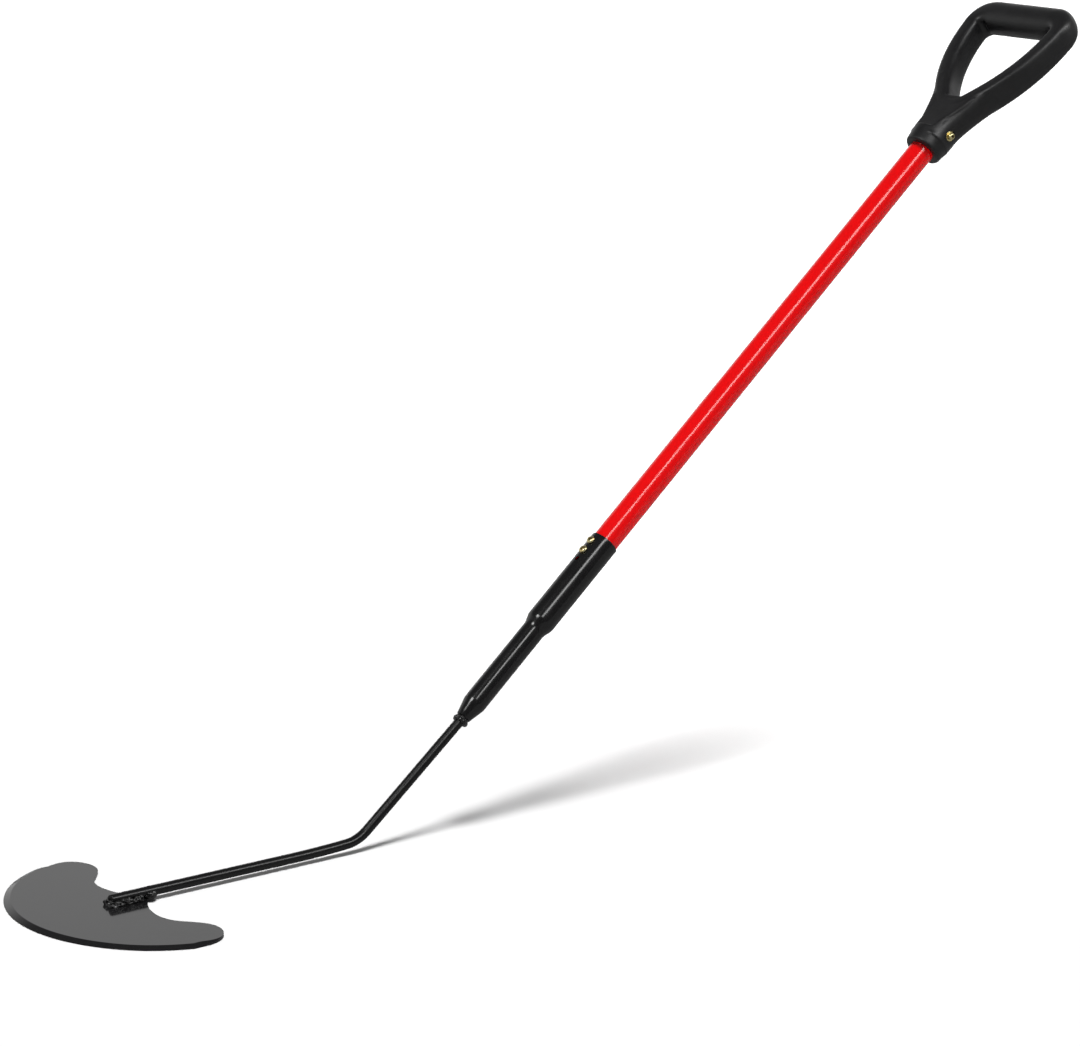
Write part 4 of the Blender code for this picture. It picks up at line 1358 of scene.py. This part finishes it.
def in_mirror(tree, seen):
    """One for rays that come by a reflection or through glass."""
    return calc(tree, "MAXIMUM", seen["Is Glossy Ray"], seen["Is Transmission Ray"])


def make_floor():
    """White diffuse floor. Mirrored in paint it is quieter, which keeps black paint black.

    For the camera alone it glows a little, and more towards the far end as painted light, which
    washes out the shadow there.
    """
    material, tree, _ = new_material("pale_floor")
    tree.nodes.remove(tree.nodes["Principled BSDF"])
    seen = add(tree, "ShaderNodeLightPath").outputs
    darker = FLOOR_IN_PAINT - FLOOR_COLOUR
    grey = calc(tree, "MULTIPLY_ADD", in_mirror(tree, seen), darker, FLOOR_COLOUR)
    diffuse = add(tree, "ShaderNodeBsdfDiffuse")
    feed(tree, diffuse.inputs["Color"], grey)
    glow = add(tree, "ShaderNodeEmission")
    place = parts_of(tree, add(tree, "ShaderNodeTexCoord").outputs["Object"])
    # Painted light: the camera's glow grows towards the far end and washes out the grip's shadow.
    painted_light = spread(tree, place["X"], *FAR_FLOOR, FLOOR_GLOW, FLOOR_GLOW + FAR_PAINTED_LIGHT)
    feed(tree, glow.inputs["Strength"], calc(tree, "MULTIPLY", seen["Is Camera Ray"], painted_light))
    both = add(tree, "ShaderNodeAddShader")
    feed(tree, both.inputs[0], diffuse.outputs[0])
    feed(tree, both.inputs[1], glow.outputs[0])
    feed(tree, tree.nodes["Material Output"].inputs["Surface"], both.outputs[0])
    half = FLOOR_SIZE / 2
    corners = np.array([(x, y, -FLOOR_DROP) for x, y in
                        ((-half, -half), (half, -half), (half, half), (-half, half))])
    mesh = mesh_from("floor", corners, [[0, 1, 2, 3]])
    mesh.materials.append(material)
    floor = linked("floor", mesh)


make_floor()


# %% The room
ROOM_LIGHT = 0.15
ROOM_IN_PAINT = 0.13
BACKDROP_IN_PAINT = 0.74
BACKDROP_TOP = (0.30, 0.62)
BACKDROP_SIDES = (-0.10, 0.35)


def make_room():
    """World by ray: white to the camera, dim to matt surfaces, a bright low backdrop to gloss."""
    world = bpy.data.worlds.new("white_room")
    bpy.context.scene.world = world
    world.use_nodes = True
    tree = world.node_tree
    way = parts_of(tree, add(tree, "ShaderNodeTexCoord").outputs["Generated"])
    low = spread(tree, way["Z"], *BACKDROP_TOP, 1.0, 0.0)
    behind = spread(tree, way["Y"], *BACKDROP_SIDES)
    backdrop = calc(tree, "MULTIPLY", low, behind)
    brighter = BACKDROP_IN_PAINT - ROOM_IN_PAINT
    mirrored = calc(tree, "MULTIPLY_ADD", backdrop, brighter, ROOM_IN_PAINT)
    more = calc(tree, "SUBTRACT", mirrored, ROOM_LIGHT)
    seen = add(tree, "ShaderNodeLightPath").outputs
    level = calc(tree, "MULTIPLY_ADD", in_mirror(tree, seen), more, ROOM_LIGHT)
    level = calc(tree, "MAXIMUM", level, seen["Is Camera Ray"])
    background = tree.nodes["Background"]
    background.inputs["Color"].default_value = (1.0, 1.0, 1.0, 1.0)
    feed(tree, background.inputs["Strength"], level)


make_room()


# %% Lamps
def lamp_object(name, kind, place, aim, power):
    """Lamp of a kind that looks from its place towards a point."""
    lamp = bpy.data.lights.new(name, kind)
    lamp.energy = power
    carrier = linked(name, lamp)
    carrier.location = place
    carrier.rotation_mode = "QUATERNION"
    carrier.rotation_quaternion = (Vector(aim) - Vector(place)).to_track_quat("-Z", "X")
    print(name, "at", place, "power", power)
    return carrier


SUN_PLACE = (0.50, -0.495, 3.00)
SUN_AIM = (0.50, 0.0, 0.0)
SUN_POWER = 3.15
SUN_ANGLE = 0.27
overhead = lamp_object("wide_overhead", "SUN", SUN_PLACE, SUN_AIM, SUN_POWER)
overhead.data.angle = SUN_ANGLE
overhead.visible_glossy = False

STRIP_START = Vector((-0.75, -2.20, 2.82))
STRIP_END = Vector((4.00, -2.20, 1.98))
STRIP_WIDTH = 0.55
STRIP_AIM = Vector((0.60, 0.0, 0.20))
STRIP_POWER = 85.0
strip_middle = (STRIP_START + STRIP_END) / 2
strip = lamp_object("mirrored_strip", "AREA", strip_middle, STRIP_AIM, STRIP_POWER)
strip.data.shape = "RECTANGLE"
strip.data.size, strip.data.size_y = (STRIP_END - STRIP_START).length, STRIP_WIDTH
along_strip = (STRIP_END - STRIP_START).normalized()
away = (strip_middle - STRIP_AIM).normalized()
away = (away - along_strip * along_strip.dot(away)).normalized()
strip_axes = Matrix((along_strip, away.cross(along_strip), away)).transposed()
strip.rotation_quaternion = strip_axes.to_quaternion()
strip.visible_diffuse = False

BOX_PLACE = (-1.20, -0.30, 2.00)
BOX_AIM = (0.50, 0.0, 0.20)
BOX_POWER = 26.0
BOX_SIZE = 0.90
box = lamp_object("mirrored_soft_box", "AREA", BOX_PLACE, BOX_AIM, BOX_POWER)
box.data.shape = "DISK"
box.data.size = BOX_SIZE
box.visible_diffuse = False

# %% Camera
CAMERA_PLACE = (-1.64368, -2.82022, 1.12272)
CAMERA_TURN = (math.radians(76.6545), 0.0, math.radians(-37.3145))
CAMERA_LENS = 129.38

camera = linked("camera", bpy.data.cameras.new("camera"))
camera.data.lens = CAMERA_LENS
camera.data.sensor_width = 36.0
camera.location = CAMERA_PLACE
camera.rotation_euler = CAMERA_TURN
bpy.context.scene.camera = camera
bpy.context.scene.view_settings.view_transform = "Standard"
print("camera at", CAMERA_PLACE)
